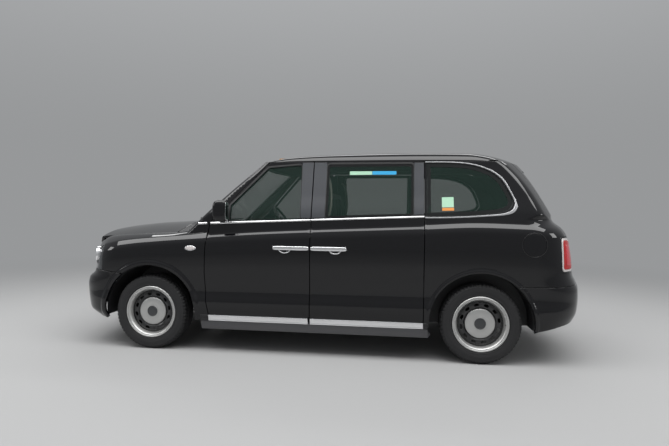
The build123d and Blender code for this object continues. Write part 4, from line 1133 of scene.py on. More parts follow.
def spun(profile, centre, axis, count=144, ripple=None):
    """Grid of a profile (radius, reach) spun about an axis: centre + r (u cos t + w sin t) + reach * axis. A
    ripple takes (angle, profile) and gives what is taken off the radius."""
    axis = np.array(axis, float)
    u = np.cross(axis, (0.0, 0.0, 1.0) if abs(axis[2]) < 0.9 else (1.0, 0.0, 0.0))
    u /= np.linalg.norm(u)
    w = np.cross(axis, u)
    t = np.linspace(0, 2 * np.pi, count, endpoint=False)[:, None]
    radius, reach = np.array(profile, float).T
    radius = radius[None] - (ripple(t, np.array(profile)) if ripple else 0.0)
    return (np.array(centre) + radius[..., None] * (np.cos(t)[..., None] * u + np.sin(t)[..., None] * w)
            + np.broadcast_to(reach[None, :, None], radius.shape + (1,)) * axis)


def carried(sheet, line, profile, closed=False):
    """Grid of a profile (across, out) carried along a (run, level) line:
    sheet(line + across * side) + out * normal."""
    line, profile = np.asarray(line, float), np.array(profile, float)
    ahead = np.roll(line, -1, 0) - line
    behind = line - np.roll(line, 1, 0)
    if not closed:
        ahead[-1], behind[0] = behind[-1], ahead[0]
    along = sum(way / np.linalg.norm(way, axis=1)[:, None] for way in (ahead, behind))
    along /= np.linalg.norm(along, axis=1)[:, None]
    side = np.stack([-along[:, 1], along[:, 0]], -1)
    run, level = np.moveaxis(line[:, None] + side[:, None] * profile[None, :, :1], -1, 0)
    return sheet(run, level) + sheet_normal(sheet, run, level) * profile[None, :, 1:]


def moulding(name, sheet, line, profile, rider, finish, mirror=False, closed=False):
    """A strip carried along a line on a sheet, on the left or mirrored to the right."""
    grid = carried(sheet, line, profile, closed) * ((1, -1, 1) if mirror else 1)
    return surface(name, grid, rider, finish, (closed, True), not closed)


def power(wave, exponent):
    """Signed power, which squares up a sine wave into a superellipse."""
    return np.sign(wave) * np.abs(wave) ** exponent


print("grids can be made into meshes")

# %% [markdown]
# ## Wheels
# The wheel is a pressed steel one with a silver trim ring, a black dish with twelve oval holes, a plain
# silver disc and a dark hub cap. The tyre has four grooves round it and blocks at its shoulders. Every
# profile is a list of (radius, reach) from the wheel's middle outwards, in metres.

# %% Profiles of the tyre and the wheel
WHEEL_Y = 0.790
TYRE = [(0.2405, 0.092), (0.2450, 0.1005), (0.2520, 0.1040), (0.2570, 0.1025), (0.2680, 0.1050),
        (0.2850, 0.1068), (0.3000, 0.1062), (0.3140, 0.1035), (0.3160, 0.1040), (0.3230, 0.1010),
        (0.3300, 0.0965), (0.3360, 0.0905), (0.3405, 0.0840), (0.3430, 0.0770), (0.3442, 0.0680),
        (0.3442, 0.0580), (0.3370, 0.0565), (0.3370, 0.0500), (0.3446, 0.0485), (0.3448, 0.0200),
        (0.3370, 0.0190), (0.3370, 0.0110), (0.3449, 0.0100)]
TYRE = TYRE + [(radius, -reach) for radius, reach in TYRE[::-1]]
TRIM_RING = [(0.2395, 0.0900), (0.2392, 0.0985), (0.2350, 0.1020), (0.2290, 0.1015), (0.2255, 0.0990),
             (0.2240, 0.0965), (0.2220, 0.0975), (0.2185, 0.0990), (0.2140, 0.0970), (0.2080, 0.0880),
             (0.2030, 0.0770), (0.1985, 0.0640), (0.1965, 0.0550), (0.1980, 0.0530), (0.2050, 0.0600),
             (0.2200, 0.0850)]
BARREL = [(0.2392, 0.0900), (0.2250, 0.0800), (0.2050, 0.0480), (0.2200, 0.0350), (0.2200, -0.0900),
          (0.2392, -0.1000), (0.2392, -0.0850), (0.2270, -0.0750), (0.2270, 0.0300)]
SILVER_DISC = [(0.0, 0.0550), (0.1265, 0.0460), (0.1278, 0.0520), (0.1268, 0.0575), (0.1230, 0.0610),
               (0.1150, 0.0630), (0.0900, 0.0650), (0.0640, 0.0658), (0.0600, 0.0640), (0.0560, 0.0660),
               (0.0500, 0.0662), (0.0, 0.0660)]
HUB_CAP = [(0.0, 0.0600), (0.0490, 0.0600), (0.0495, 0.0680), (0.0470, 0.0710), (0.0430, 0.0715),
           (0.0400, 0.0695), (0.0360, 0.0700), (0.0250, 0.0718), (0.0, 0.0725)]
DISH_KNOTS = ([0.0, 0.118, 0.130, 0.140, 0.152, 0.165, 0.180, 0.190, 0.205],
              [0.046, 0.046, 0.047, 0.055, 0.0610, 0.0625, 0.0580, 0.0520, 0.0500])
VALVE = [(0, 0), (0.004, 0), (0.004, 0.012), (0.003, 0.016), (0, 0.016)]
WHEEL_PARTS = [("trim_ring", TRIM_RING, "wheel_silver"), ("barrel", BARREL, "wheel_black"),
               ("disc", SILVER_DISC, "wheel_silver"), ("hub_cap", HUB_CAP, "hub_dark")]
TREAD_BLOCKS = 64
DISH_R = 0.1985
SLOTS = 12
print("tyre diameter, mm:", round(2000 * max(radius for radius, reach in TYRE)))

# %% Wheels placed


def blocks(angle, profile):
    """Depth cut from the tyre's radius: notches all the way round, full at the shoulders, none on the walls."""
    radius, reach = profile.T
    wave = np.clip(2.2 * np.cos(TREAD_BLOCKS * angle + 18 * reach[None]) - 1.1, 0, 1)
    shoulder = np.clip((radius - 0.316) / 0.012, 0, 1) * np.clip((np.abs(reach) - 0.052) / 0.008, 0, 1)
    return 0.006 * wave * shoulder[None]


def dish_sheet(x, z):
    """Pressed dish: its reach depends only on the distance from the axle."""
    reach = smooth(*DISH_KNOTS, np.hypot(x, z))
    return np.stack([x, -reach, z], -1)


turn = np.linspace(0, 2 * np.pi, 96, endpoint=False)
ring = np.stack([np.cos(turn), np.sin(turn)], -1)
oval = np.stack([0.0135 * power(np.cos(turn[::4]), 0.8) + 0.163, 0.0215 * power(np.sin(turn[::4]), 0.8)], -1)
angles = [k * 2 * math.pi / SLOTS + 0.2 for k in range(SLOTS)]
ovals = [oval @ np.array([[math.cos(a), math.sin(a)], [-math.sin(a), math.cos(a)]]) for a in angles]
dish = cut(dish_sheet, ring * DISH_R, ovals + [ring[::2] * 0.120], 0.005, 0.002, step=0.008)
for place, axle_x in zip(("front", "rear"), WHEELS_X):
    for side, way in (("left", -1), ("right", 1)):
        rider, tail = f"wheel_{place}_{side}", f"{place}_{side}"
        hub, out = (axle_x, way * WHEEL_Y, WHEEL_R), (0, way, 0)
        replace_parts(surface(f"{tail}_tyre", spun(TYRE, hub, out, 384, blocks), rider, "rubber_tyre", sharp=28),
                    f"tyre_{tail}")
        place_at = (dish[0] * (1, -way, 1) + np.array(hub),) + dish[1:]
        if way > 0:
            place_at = (place_at[0], dish[1][:, ::-1], dish[2][:, ::-1] * (1, -1, 1), dish[3], dish[4][:, ::-1],
                        dish[5][:, ::-1] * (1, -1, 1), dish[6])
        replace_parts(panel(f"{tail}_dish", place_at, rider, "wheel_black", "wheel_black"), f"rim_{tail}")
        for part, profile, finish in WHEEL_PARTS:
            surface(f"{tail}_{part}", spun(profile, hub, out, 144), rider, finish,
                    (True, profile[0][0] > 0), slot="wheel_black")
        valve = np.array(hub) + np.array((0.2065, way * 0.080, 0.0))
        surface(f"{tail}_valve", spun(VALVE, valve, out, 16), rider, "trim_black", (True, False))

# %% [markdown]
# ## Bright strips, covers and handles
# A satin sill with a bright hollow strip runs between the arches, with black caps at its ends. A domed bright
# strip follows the belt line, from the screen's foot to the satin rim of the quarter window. Satin grey
# covers hide the posts between the windows. A strip's section is a list of (across, out) in metres.

# %% Sections and lines of the strips
STRIP_Z = 0.3175


def side_line(x0, x1, height, step=0.03):
    """Line of (run, level) on the side at a height that may depend on x."""
    x = np.linspace(x0, x1, max(int((x1 - x0) / step), 2))
    return from_side(side_body, np.stack([x, height(x) + 0 * x], -1))


sill_loop = side_loop(side_body, [(-1.056, 0.2075), (0.990, 0.2075), (0.990, 0.287), (-1.056, 0.287)], 0.004)
sill_skin = cut(side_body, sill_loop, [], 0.055, 0.004)
BRIGHT = [(-0.0270, -0.002), (-0.0270, 0.0030), (-0.0240, 0.0060), (-0.0190, 0.0070), (-0.0150, 0.0060),
          (-0.0120, 0.0035), (0.0120, 0.0035), (0.0150, 0.0060), (0.0190, 0.0070), (0.0240, 0.0060),
          (0.0270, 0.0030), (0.0270, -0.002)]
dome = np.linspace(0, np.pi, 11)
DOMED = np.stack([-0.0105 * np.cos(dome), 0.0095 * np.sin(dome) - 0.001], -1)


def strip_height(x):
    """Height of the sill's bright strip, the same all along."""
    return STRIP_Z


def belt_height(x):
    """Height of the belt strip, a hair over the window sill line."""
    return belt(x) + 0.001


strips = {"sill_front": (side_line(-0.978, -0.060, strip_height), BRIGHT, "body"),
          "sill_rear": (side_line(-0.040, 0.948, strip_height), BRIGHT, "body"),
          "belt_front": (side_line(-0.975, -0.049, belt_height), DOMED, "door_front"),
          "belt_rear": (side_line(-0.041, 0.947, belt_height), DOMED, "door_rear")}
COVERS = {"front_cover": ([(-0.139, 1.236), (-0.050, 1.236), (-0.050, 1.742), (-0.152, 1.742)], "door_front"),
          "rear_cover": ([(-0.040, 1.238), (0.075, 1.240), (0.075, 1.742), (-0.040, 1.742)], "door_rear"),
          "tail_cover": ([(0.863, 1.276), (0.946, 1.280), (0.946, 1.742), (0.863, 1.742)], "door_rear")}
print("belt strips, mm:", [round(1000 * (line[-1, 0] - line[0, 0])) for line, *_ in strips.values()][2:])

# %% Window rims, covers and handles


def window_rim(points, width):
    """Outline round a window, moved outwards by the width."""
    loop = rounded(points, 0.035)
    loop = loop if area(loop) > 0 else loop[::-1]
    return from_side(side_body, inset_loop(loop, -width))


rim_inner = 0.45 * np.array(QUARTER_RIM) + 0.55 * np.array(QUARTER_OPEN)
rim_points = np.concatenate([flowing(QUARTER_RIM, 5, (0, 17))[:86], [(0.957, rim_inner[-1, 1])],
                             flowing(rim_inner, 5, (0, 17))[:86][::-1], [(0.957, rim_inner[0, 1])]])
cover_shapes = {name: (cut(side_body, side_loop(side_body, points, 0.004), [], 0.006, 0.002, 0.004), rider)
                for name, (points, rider) in COVERS.items()}
rim_shape = cut(side_body, from_side(side_body, rim_points), [], 0.010, 0.0035, 0.005, 0.012)
frame_shapes = {place: cut(side_body, window_rim(glass, 0.012),
                           [side_loop(side_body, glass, WINDOW_RADII[place], 0.004)], 0.012, 0.0015, 0.0015)
                for place, glass in (("front", FRONT_GLASS), ("rear", REAR_GLASS))}


def handle_bar(x0, x1, z):
    """Bar over the skin: a superellipse section that closes at both ends and comes down to the skin there."""
    t = np.linspace(0, np.pi, 41)[:, None]
    s = np.linspace(0, 2 * np.pi, 28, endpoint=False)[None]
    along, fat = -power(np.cos(t), 0.25), power(np.sin(t), 0.25)
    x = (x0 + x1) / 2 + (x1 - x0) / 2 * along + 0 * s
    across = 0.0165 * fat * power(np.sin(s), 0.55)
    out = 0.010 + 0.003 * (1 - along ** 6) + 0.0068 * fat * power(np.cos(s), 0.7)
    spot = from_side(side_body, np.stack([x[:, 0], 0 * x[:, 0] + z], -1))
    run = spot[:, :1] + 0 * s
    level = spot[:, 1:] + across
    return side_body(run, level) + sheet_normal(side_body, run, level) * out[..., None]


def latch_ring(x, z):
    """Bright lip of the finger cup under a handle: a half ring of a round section."""
    a = np.linspace(np.pi + 0.15, 2 * np.pi - 0.15, 25)
    line = from_side(side_body, np.stack([x + 0.048 * np.cos(a), z + 0.030 * np.sin(a)], -1))
    s = np.linspace(0, 2 * np.pi, 12, endpoint=False)
    return carried(side_body, line, np.stack([0.0048 * np.cos(s), 0.001 + 0.0048 * np.sin(s)], -1))


LATCH_Z = 0.955
HANDLES = {"front": (-0.376, -0.054, 0.968, -0.272), "rear": (-0.036, 0.282, 0.968, 0.181)}
SILL_CAPS = {"front": (-1.052, -0.984), "rear": (0.954, 0.986)}
nose_strip_x = np.linspace(-1.092, -1.008, 5)
nose_strip = from_side(cabin, np.stack([nose_strip_x, belt_height(nose_strip_x)], -1))
print("covers and rims cut:", len(cover_shapes) + len(frame_shapes) + 1)

# %% Strips, covers and handles placed
for side, mirror in (("left", False), ("right", True)):
    flip = (1, -1, 1) if mirror else 1
    for place, (x0, x1) in SILL_CAPS.items():
        moulding(f"sill_cap_{place}_{side}", side_body, side_line(x0, x1, strip_height), BRIGHT, "body",
                 "trim_black", mirror)
    for name, (line, profile, rider) in strips.items():
        rider = rider if rider == "body" else f"{rider}_{side}"
        moulding(f"{name}_strip_{side}", side_body, line, profile, rider, "chrome", mirror)
    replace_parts(panel(f"sill_{side}_skin", sill_skin, "body", "satin_grey", "underbody", mirror), "sills")
    for name, (shape, rider) in cover_shapes.items():
        panel(f"{name}_{side}", shape, f"{rider}_{side}", "cover_grey", "trim_black", mirror, "trim_black")
    moulding(f"belt_nose_strip_{side}", cabin, nose_strip, DOMED, "body", "chrome", mirror)
    panel(f"quarter_rim_{side}", rim_shape, "body", "satin_chrome", "satin_chrome", mirror, "chrome")
    for place, (x0, x1, z, cup) in HANDLES.items():
        rider = f"door_{place}_{side}"
        panel(f"window_frame_{place}_{side}", frame_shapes[place], rider, "trim_black", "trim_black", mirror)
        surface(f"handle_{place}_{side}", handle_bar(x0, x1, z) * flip, rider, "chrome", (False, True),
                sharp=50)
        surface(f"latch_{place}_{side}", latch_ring(cup, LATCH_Z) * flip, rider, "chrome", (False, True), True)
print("strips and covers placed")

# %% [markdown]
# ## Headlamps
# A headlamp is a clear lens over a black bowl, which has a hole for a round reflector with a chrome lip. The
# lens is cut from the body's own sheet, so it lies flush with the wing, the bonnet and the bumper.

# %% Headlamps
LAMP_FLOOR_Z = 0.729
LAMP_MIDDLE = (-2.215, 0.650, 0.842)
INDICATOR_MIDDLE = (-2.145, 0.745, 0.775)
GRILLE_Y = 0.480


def nose_patch(inner_y, low, high, back_x):
    """Outline on the wing sheet from a line near the middle of the nose round to a line on the side."""
    front = from_end(wing_body, divided([(-inner_y, high), (-inner_y, low)]), -1)
    side = from_side(wing_body, divided([(back_x, low), (back_x, high)]))
    return joined(front, side)


def nose_line(half, z):
    """Level line across the nose."""
    y = np.linspace(-half, half, 61)
    return from_end(wing_body, np.stack([y, z + 0 * y], -1), -1)


lamp_loop = nose_patch(GRILLE_Y + 0.004, LAMP_FLOOR_Z, LAMP_TOP_Z - 0.004, LAMP_BACK_X - 0.004)
lamp_rim = lamp_loop if area(lamp_loop) > 0 else lamp_loop[::-1]
lamp_hole = from_end(wing_body, circle((-LAMP_MIDDLE[1], LAMP_MIDDLE[2]), 0.080, 40), -1)
lamp_edge = cut(wing_body, lamp_rim, [inset_loop(lamp_rim, 0.007)], 0.018, 0.0005, -0.003)
lamp_shapes = {"shell": (lamp_edge, "wheel_black"),
               "lens": (cut(wing_body, lamp_loop, [], 0.004, 0.002, -0.0005), "lamp_clear"),
               "bowl": (cut(wing_body, lamp_loop, [lamp_hole], 0.004, 0.0005, -0.016), "wheel_black")}
REFLECTOR = [(0.0, -0.030), (0.045, -0.024), (0.068, -0.010), (0.079, 0.012), (0.084, 0.016), (0.088, 0.012),
             (0.088, -0.020), (0.060, -0.045), (0.0, -0.048)]
PROJECTOR = [(0.0, -0.020), (0.036, -0.020), (0.036, 0.000), (0.030, 0.006), (0.018, 0.011), (0.0, 0.013)]
SIDE_RING = [(0.0, -0.010), (0.022, -0.008), (0.031, 0.002), (0.034, 0.000), (0.034, -0.014), (0.0, -0.016)]
LAMP_PARTS = [("reflector", REFLECTOR, LAMP_MIDDLE, "chrome"),
              ("projector", PROJECTOR, LAMP_MIDDLE, "lamp_clear"),
              ("indicator", SIDE_RING, INDICATOR_MIDDLE, "chrome")]
for side, way in (("left", -1), ("right", 1)):
    for name, (shape, finish) in lamp_shapes.items():
        piece = panel(f"headlamp_{name}_{side}", shape, "body", finish, finish, way > 0, "lamp_clear")
        if name == "lens":
            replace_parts(piece, "headlamps")
    tilt = np.array((-0.94, way * 0.34, 0.0))
    for name, profile, (x, y, z), finish in LAMP_PARTS:
        turned_shape = spun(profile, (x, way * y, z), tilt / np.linalg.norm(tilt), 72)
        surface(f"headlamp_{name}_{side}", turned_shape, "body", finish, (True, False), slot="lamp_clear")

# %% [markdown]
# ## Grille, intakes and wipers
# The grille is a dark mesh with five bright vanes and a bright rim. The intakes below have a mesh of their
# own and black slats. The wipers lie along the windscreen's foot, a blade and an arm each.

# %% Grille and intakes
grille_line = nose_line(GRILLE_Y - 0.004, LAMP_FLOOR_Z)
grille_roof = nose_line(GRILLE_Y - 0.004, LAMP_TOP_Z - 0.004)[::-1]
grille_loop = joined(grille_line, grille_roof)
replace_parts(panel("grille_mesh", cut(wing_body, grille_loop, [], 0.010, 0.0005, -0.030), "body", "trim_black",
                  "trim_black"), "grille")
VANE = [(-0.011, -0.022), (-0.013, -0.004), (-0.010, 0.001), (-0.004, 0.0035), (0.004, 0.0035), (0.010, 0.001),
        (0.013, -0.004), (0.011, -0.022)]
for k in range(5):
    moulding(f"grille_vane_{k}", wing_body, nose_line(GRILLE_Y - 0.022, 0.766 + 0.0385 * k), VANE, "body",
             "chrome")
rim_line = joined(nose_line(GRILLE_Y - 0.012, LAMP_FLOOR_Z + 0.008),
                  nose_line(GRILLE_Y - 0.012, LAMP_TOP_Z - 0.012)[::-1])
RIM = [(-0.010, -0.001), (-0.010, 0.0035), (-0.0086, 0.007), (-0.005, 0.007), (0, 0.007), (0.005, 0.007),
       (0.0086, 0.007), (0.010, 0.0035), (0.010, -0.001)]
moulding("grille_rim", wing_body, rim_line, RIM, "body", "chrome", closed=True)
SLAT = [(-0.004, -0.030), (-0.004, -0.008), (0.0, -0.006), (0.004, -0.008), (0.004, -0.030)]
for name, loop, half, heights in (("upper", intakes[0], 0.385, (0.596, 0.624)),
                                  ("lower", intakes[1], 0.455, (0.425, 0.450, 0.475))):
    panel(f"intake_{name}_mesh", cut(wing_body, loop, [], 0.006, 0.0005, -0.045), "body", "trim_black",
          "trim_black", slot="paint_black")
    for k, z in enumerate(heights):
        moulding(f"intake_{name}_slat_{k}", wing_body, nose_line(half, z), SLAT, "body", "trim_black")

# %% Wipers
WIPERS = {"near": ([(-0.62, 1.215), (-0.30, 1.186), (0.02, 1.172)],
                   [(-0.18, 1.085), (-0.24, 1.130), (-0.29, 1.186)]),
          "far": ([(0.05, 1.190), (0.35, 1.182), (0.66, 1.196)],
                  [(0.46, 1.085), (0.40, 1.130), (0.36, 1.182)])}
BLADE = [(-0.004, 0.0005), (-0.006, 0.012), (0.0, 0.017), (0.006, 0.012), (0.004, 0.0005)]
ARM = [(-0.007, 0.015), (-0.005, 0.024), (0.005, 0.024), (0.007, 0.015)]
for name, (blade, arm) in WIPERS.items():
    for part, line, profile in (("blade", blade, BLADE), ("arm", arm, ARM)):
        moulding(f"wiper_{part}_{name}", cabin, from_end(cabin, divided(line, 0.03), -1), profile, "body",
                 "trim_black")
print("wiper pieces:", 2 * len(WIPERS))

# %% [markdown]
# ## Tail lamps, repeaters and mirrors
# A tail lamp is a tall red lens in a pale border, cut from the body's sheet beside the tailgate. The repeater
# on the wing is a pale oval in a bright ring. A mirror's housing and arm are squared ovals that ride on the
# door.

# %% Shapes of the tail lamps
lamp_low, lamp_high = TAIL_LAMP_Z[0] + 0.003, TAIL_LAMP_Z[1] - 0.003
lamp_side = from_side(side_body, divided([(TAIL_LAMP_X + 0.003, lamp_low), (TAIL_LAMP_X + 0.003, lamp_high)]))
lamp_end = from_end(side_body, divided([(-TAILGATE_Y - GAP, lamp_high), (-TAILGATE_Y - GAP, lamp_low)]), 1)
tail_loop = joined(lamp_side, lamp_end)
tail_loop = tail_loop if area(tail_loop) > 0 else tail_loop[::-1]
low_corner, high_corner = tail_loop.min(0), tail_loop.max(0)


def lamp_oblong(margin, radius):
    """Rounded oblong in (run, level) set in from the tail lamp's corners."""
    (left, foot), (right, top) = low_corner + margin, high_corner - margin
    return rounded([(left, foot), (right, foot), (right, top), (left, top)], radius)


lamp_border = cut(side_body, lamp_oblong(0.012, 0.030), [lamp_oblong(0.028, 0.022)], 0.012, 0.005, 0.008)
tail_shapes = {"housing": (cut(side_body, tail_loop, [], 0.050, 0.001, 0.0), "paint_black"),
               "border": (lamp_border, "lamp_pale"),
               "lens": (cut(side_body, lamp_oblong(0.0285, 0.021), [], 0.014, 0.005, 0.010), "lamp_red"),
               "core": (cut(side_body, lamp_oblong(0.060, 0.014), [], 0.006, 0.002, 0.0125), "lamp_deep")}
print("tail lamp height, mm:", round((lamp_high - lamp_low) * 1000))

# %% Shapes of the mirrors and the repeaters
MIRROR_MIDDLE = (-0.848, -0.9595, 1.2905)
MIRROR_HALF = (0.074, 0.058, 0.0975)
REPEATER = (-1.148, 0.950)


def blob(centre, half, squareness=0.6, count=49):
    """Superellipsoid: each axis is a signed power of the sphere's sine and cosine."""
    t = np.linspace(-np.pi / 2, np.pi / 2, count)[:, None]
    s = np.linspace(0, 2 * np.pi, 64, endpoint=False)[None]
    unit = np.stack([power(np.cos(t), squareness) * power(np.cos(s), squareness),
                     power(np.cos(t), squareness) * power(np.sin(s), squareness),
                     power(np.sin(t), squareness) + 0 * s], -1)
    return np.array(centre) + unit * np.array(half)


def mirror_housing():
    """Housing slimmer at its top and foot, flattened behind where the glass sits."""
    x, y, z = np.moveaxis(blob((0, 0, 0), MIRROR_HALF, 0.55, 57), -1, 0)
    tall = MIRROR_HALF[2]
    lean = 1 - 0.10 * (z / tall) ** 2
    x = np.where(x > 0.050, 0.050 + (x - 0.050) * 0.25, x * lean)
    y = y * (1 - 0.12 * (tall - z) / (2 * tall))
    return np.stack([x, y, z], -1) + np.array(MIRROR_MIDDLE)


def mirror_arm():
    """Arm from the door to the housing: an oval section that narrows at its middle."""
    t = np.linspace(0, 1, 15)[:, None]
    s = np.linspace(0, 2 * np.pi, 28, endpoint=False)[None]
    fat = 1 - 0.35 * np.sin(np.pi * t)
    return np.stack([-0.872 - 0.010 * t + 0.036 * fat * np.cos(s), -0.872 - 0.058 * t + 0 * s,
                     1.218 + 0.012 * t + 0.020 * fat * np.sin(s)], -1)


def oval_loop(a, b):
    """Oval of two half widths about the repeater's middle, as a loop on the wing's sheet."""
    t = np.linspace(0, 2 * np.pi, 40, endpoint=False)
    return from_side(wing_body, np.stack([REPEATER[0] + a * np.cos(t), REPEATER[1] + b * np.sin(t)], -1))


small_oval, large_oval = oval_loop(0.044, 0.017), oval_loop(0.0525, 0.0225)
repeater_shapes = {"lens": (cut(wing_body, small_oval, [], 0.010, 0.006, 0.009, 0.010), "lamp_pale"),
                   "ring": (cut(wing_body, large_oval, [small_oval], 0.008, 0.003, 0.005, 0.010), "chrome")}
print("mirror height, mm:", round(2000 * MIRROR_HALF[2]))

# %% Tail lamps, repeaters, mirrors and the flap's ring placed
for side, mirror in (("left", False), ("right", True)):
    flip = (1, -1, 1) if mirror else 1
    for name, (shape, finish) in tail_shapes.items():
        piece = panel(f"tail_lamp_{name}_{side}", shape, "body", finish, finish, mirror, "lamp_red")
        if name == "lens":
            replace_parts(piece, "tail_lamps")
    for name, (shape, finish) in repeater_shapes.items():
        panel(f"repeater_{name}_{side}", shape, "body", finish, finish, mirror, "lamp_clear")
    rider = f"door_front_{side}"
    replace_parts(surface(f"mirror_housing_{side}", mirror_housing() * flip, rider, "paint_black", (False, True)),
                f"mirror_{side}")
    surface(f"mirror_arm_{side}", mirror_arm() * flip, rider, "trim_black", (False, True), True)
    surface(f"mirror_pane_{side}", blob((-0.7955, -0.9595, 1.2905), (0.0030, 0.044, 0.080), 0.45) * flip, rider,
            "chrome", (False, True))
FLAP_BEAD = [(-0.0018, -0.001), (-0.0015, 0.0012), (0, 0.0018), (0.0015, 0.0012), (0.0018, -0.001)]
flap_line = from_side(side_body, np.array(FLAP_CENTRE) + 0.1012 * ring)
moulding("flap_ring", side_body, flap_line, FLAP_BEAD, "body", "trim_black", closed=True)
print("tail and side pieces placed")

# %% [markdown]
# ## The cabin
# The seats are padded, so each pad starts as a slightly small closed form and is blown up as cloth: pressure
# inside, gravity off, twenty frames. How far a point may move is capped, and the sewn channels are pressed in
# afterwards.

# %% Padding
FRAMES = 20
PRESSURE = 4
CHANNEL_DEPTH = 0.010
CHANNEL_WIDTH = 0.012


def leaned(grid, centre, degrees):
    """Grid turned about the y axis through its centre."""
    a = math.radians(degrees)
    turn_matrix = np.array([[math.cos(a), 0, math.sin(a)], [0, 1, 0], [-math.sin(a), 0, math.cos(a)]])
    return (grid - np.array(centre)) @ turn_matrix.T + np.array(centre)


def coordinates(mesh):
    """Vertex places of a mesh as an array."""
    flat = np.empty(len(mesh.vertices) * 3, np.float32)
    mesh.vertices.foreach_get("co", flat)
    return flat.reshape(-1, 3).astype(float)


def pad(name, centre, half, lean=0.0, channels=(), cap=0.012, voxel=0.011):
    """Padded piece: superellipsoid, voxel remesh, cloth under pressure with its moves capped, then sewn
    channels that sink by depth * exp(-(distance / width)^2), and one subdivision."""
    block = leaned(blob(centre, half, 0.30, 41), centre, lean)
    piece = surface(name, block, "body", "seat_cloth", (False, True))
    piece.modifiers.new("voxels", "REMESH").voxel_size = voxel
    graph = bpy.context.evaluated_depsgraph_get()
    body_mesh = bpy.data.meshes.new_from_object(piece.evaluated_get(graph))
    piece.modifiers.clear()
    piece.data = body_mesh
    before = coordinates(body_mesh)
    cloth = piece.modifiers.new("cloth", "CLOTH")
    cloth.settings.use_pressure = True
    cloth.settings.uniform_pressure_force = PRESSURE
    cloth.settings.effector_weights.gravity = 0
    for frame_number in range(1, FRAMES + 1):
        scene.frame_set(frame_number)
    blown = piece.evaluated_get(bpy.context.evaluated_depsgraph_get()).to_mesh()
    move = coordinates(blown) - before
    far = np.linalg.norm(move, axis=1)[:, None]
    piece.modifiers.clear()
    scene.frame_set(1)
    after = before + move * np.minimum(1, cap / np.maximum(far, 1e-9))
    body_mesh.vertices.foreach_set("co", after.ravel())
    places = coordinates(piece.data)
    across = places[:, 1] - centre[1]
    sink = 0 * across
    for at in channels:
        sink = sink + CHANNEL_DEPTH * np.exp(-((across - at) / CHANNEL_WIDTH) ** 2)
    middle = np.array(centre)
    places -= (places - middle) / (np.array(half) + 0.02) * np.array([1, 0, 1]) * sink[:, None]
    piece.data.vertices.foreach_set("co", places.ravel())
    piece.data.update()
    piece.data.shade_smooth()
    finer = piece.modifiers.new("finer", "SUBSURF")
    finer.levels = finer.render_levels = 1
    return piece


print("padding lasts, frames:", FRAMES)

# %% Seats
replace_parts(pad("driver_cushion", (-0.335, 0.415, 0.500), (0.215, 0.230, 0.052), -3, (-0.13, 0.13)),
            "driver_seat")
pad("driver_back", (-0.118, 0.415, 0.835), (0.040, 0.228, 0.285), 2.4, (-0.13, 0.13))
pad("driver_headrest", (-0.098, 0.415, 1.222), (0.024, 0.084, 0.066), 3, cap=0.006)
surface("driver_seat_base", blob((-0.335, 0.415, 0.360), (0.135, 0.185, 0.079), 0.15), "body", "trim_black",
        (False, True))
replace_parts(pad("bench_cushion", (1.372, 0, 0.690), (0.212, 0.606, 0.052), -2, (-0.2, 0.2), voxel=0.015),
            "rear_bench")
pad("bench_back", (1.660, 0, 1.005), (0.036, 0.606, 0.255), 5.8, (-0.2, 0.2), voxel=0.015)
surface("bench_plinth", blob((1.400, 0, 0.575), (0.215, 0.600, 0.059), 0.12), "body", "trim_black",
        (False, True))
for k, y in enumerate((-0.48, 0.0, 0.48)):
    piece = pad(f"tip_up_cushion_{k}", (0.098, y, 0.660), (0.024, 0.186, 0.130), cap=0.007)
    if k == 0:
        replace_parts(piece, "tip_up_seats")
    pad(f"tip_up_back_{k}", (0.084, y, 0.935), (0.022, 0.186, 0.100), cap=0.007)
    surface(f"tip_up_shell_{k}", blob((0.060, y, 0.775), (0.0095, 0.198, 0.270), 0.15), "body", "trim_black",
            (False, True))

# %% [markdown]
# ## Steering wheel and rails
# The wheel is on the right and seen dark through the glass. It has a padded rim, a boss and three spokes. A
# pale grab rail stands at each passenger door. Rods are round sections carried along a smooth curve.

# %% Steering wheel and rails
COLUMN_LEAN = math.radians(57)
COLUMN_AXIS = np.array((math.sin(COLUMN_LEAN), 0.0, math.cos(COLUMN_LEAN)))
WHEEL_MIDDLE = np.array((-0.600, 0.400, 1.190))
WHEEL_DOWN = np.cross((0.0, 1.0, 0.0), COLUMN_AXIS)


def tube(name, points, radius, rider, finish, count=14, steps=6, slot=None):
    """Round rod through points, smoothed by a Catmull-Rom curve; its section stays square to the way along."""
    points = np.array(points, float)
    ends = np.concatenate([2 * points[:1] - points[1:2], points, 2 * points[-1:] - points[-2:-1]])
    path = [points[:1]]
    for a, b, c, d in zip(ends, ends[1:], ends[2:], ends[3:]):
        t = (np.arange(1, steps + 1) / steps)[:, None]
        path.append(0.5 * (2 * b + (c - a) * t + (2 * a - 5 * b + 4 * c - d) * t ** 2
                           + (3 * b - a - 3 * c + d) * t ** 3))
    path = np.concatenate(path)
    along = np.gradient(path, axis=0)
    along /= np.linalg.norm(along, axis=1)[:, None]
    helper = np.array((0.0, 1.0, 0.0)) if abs(along[:, 1]).mean() < 0.7 else np.array((1.0, 0.0, 0.0))
    u = np.cross(along, helper)
    u /= np.linalg.norm(u, axis=1)[:, None]
    w = np.cross(along, u)
    s = np.linspace(0, 2 * np.pi, count, endpoint=False)[None, :, None]
    grid = path[:, None] + radius * (np.cos(s) * u[:, None] + np.sin(s) * w[:, None])
    return surface(name, grid, rider, finish, (False, True), True, 60, slot)


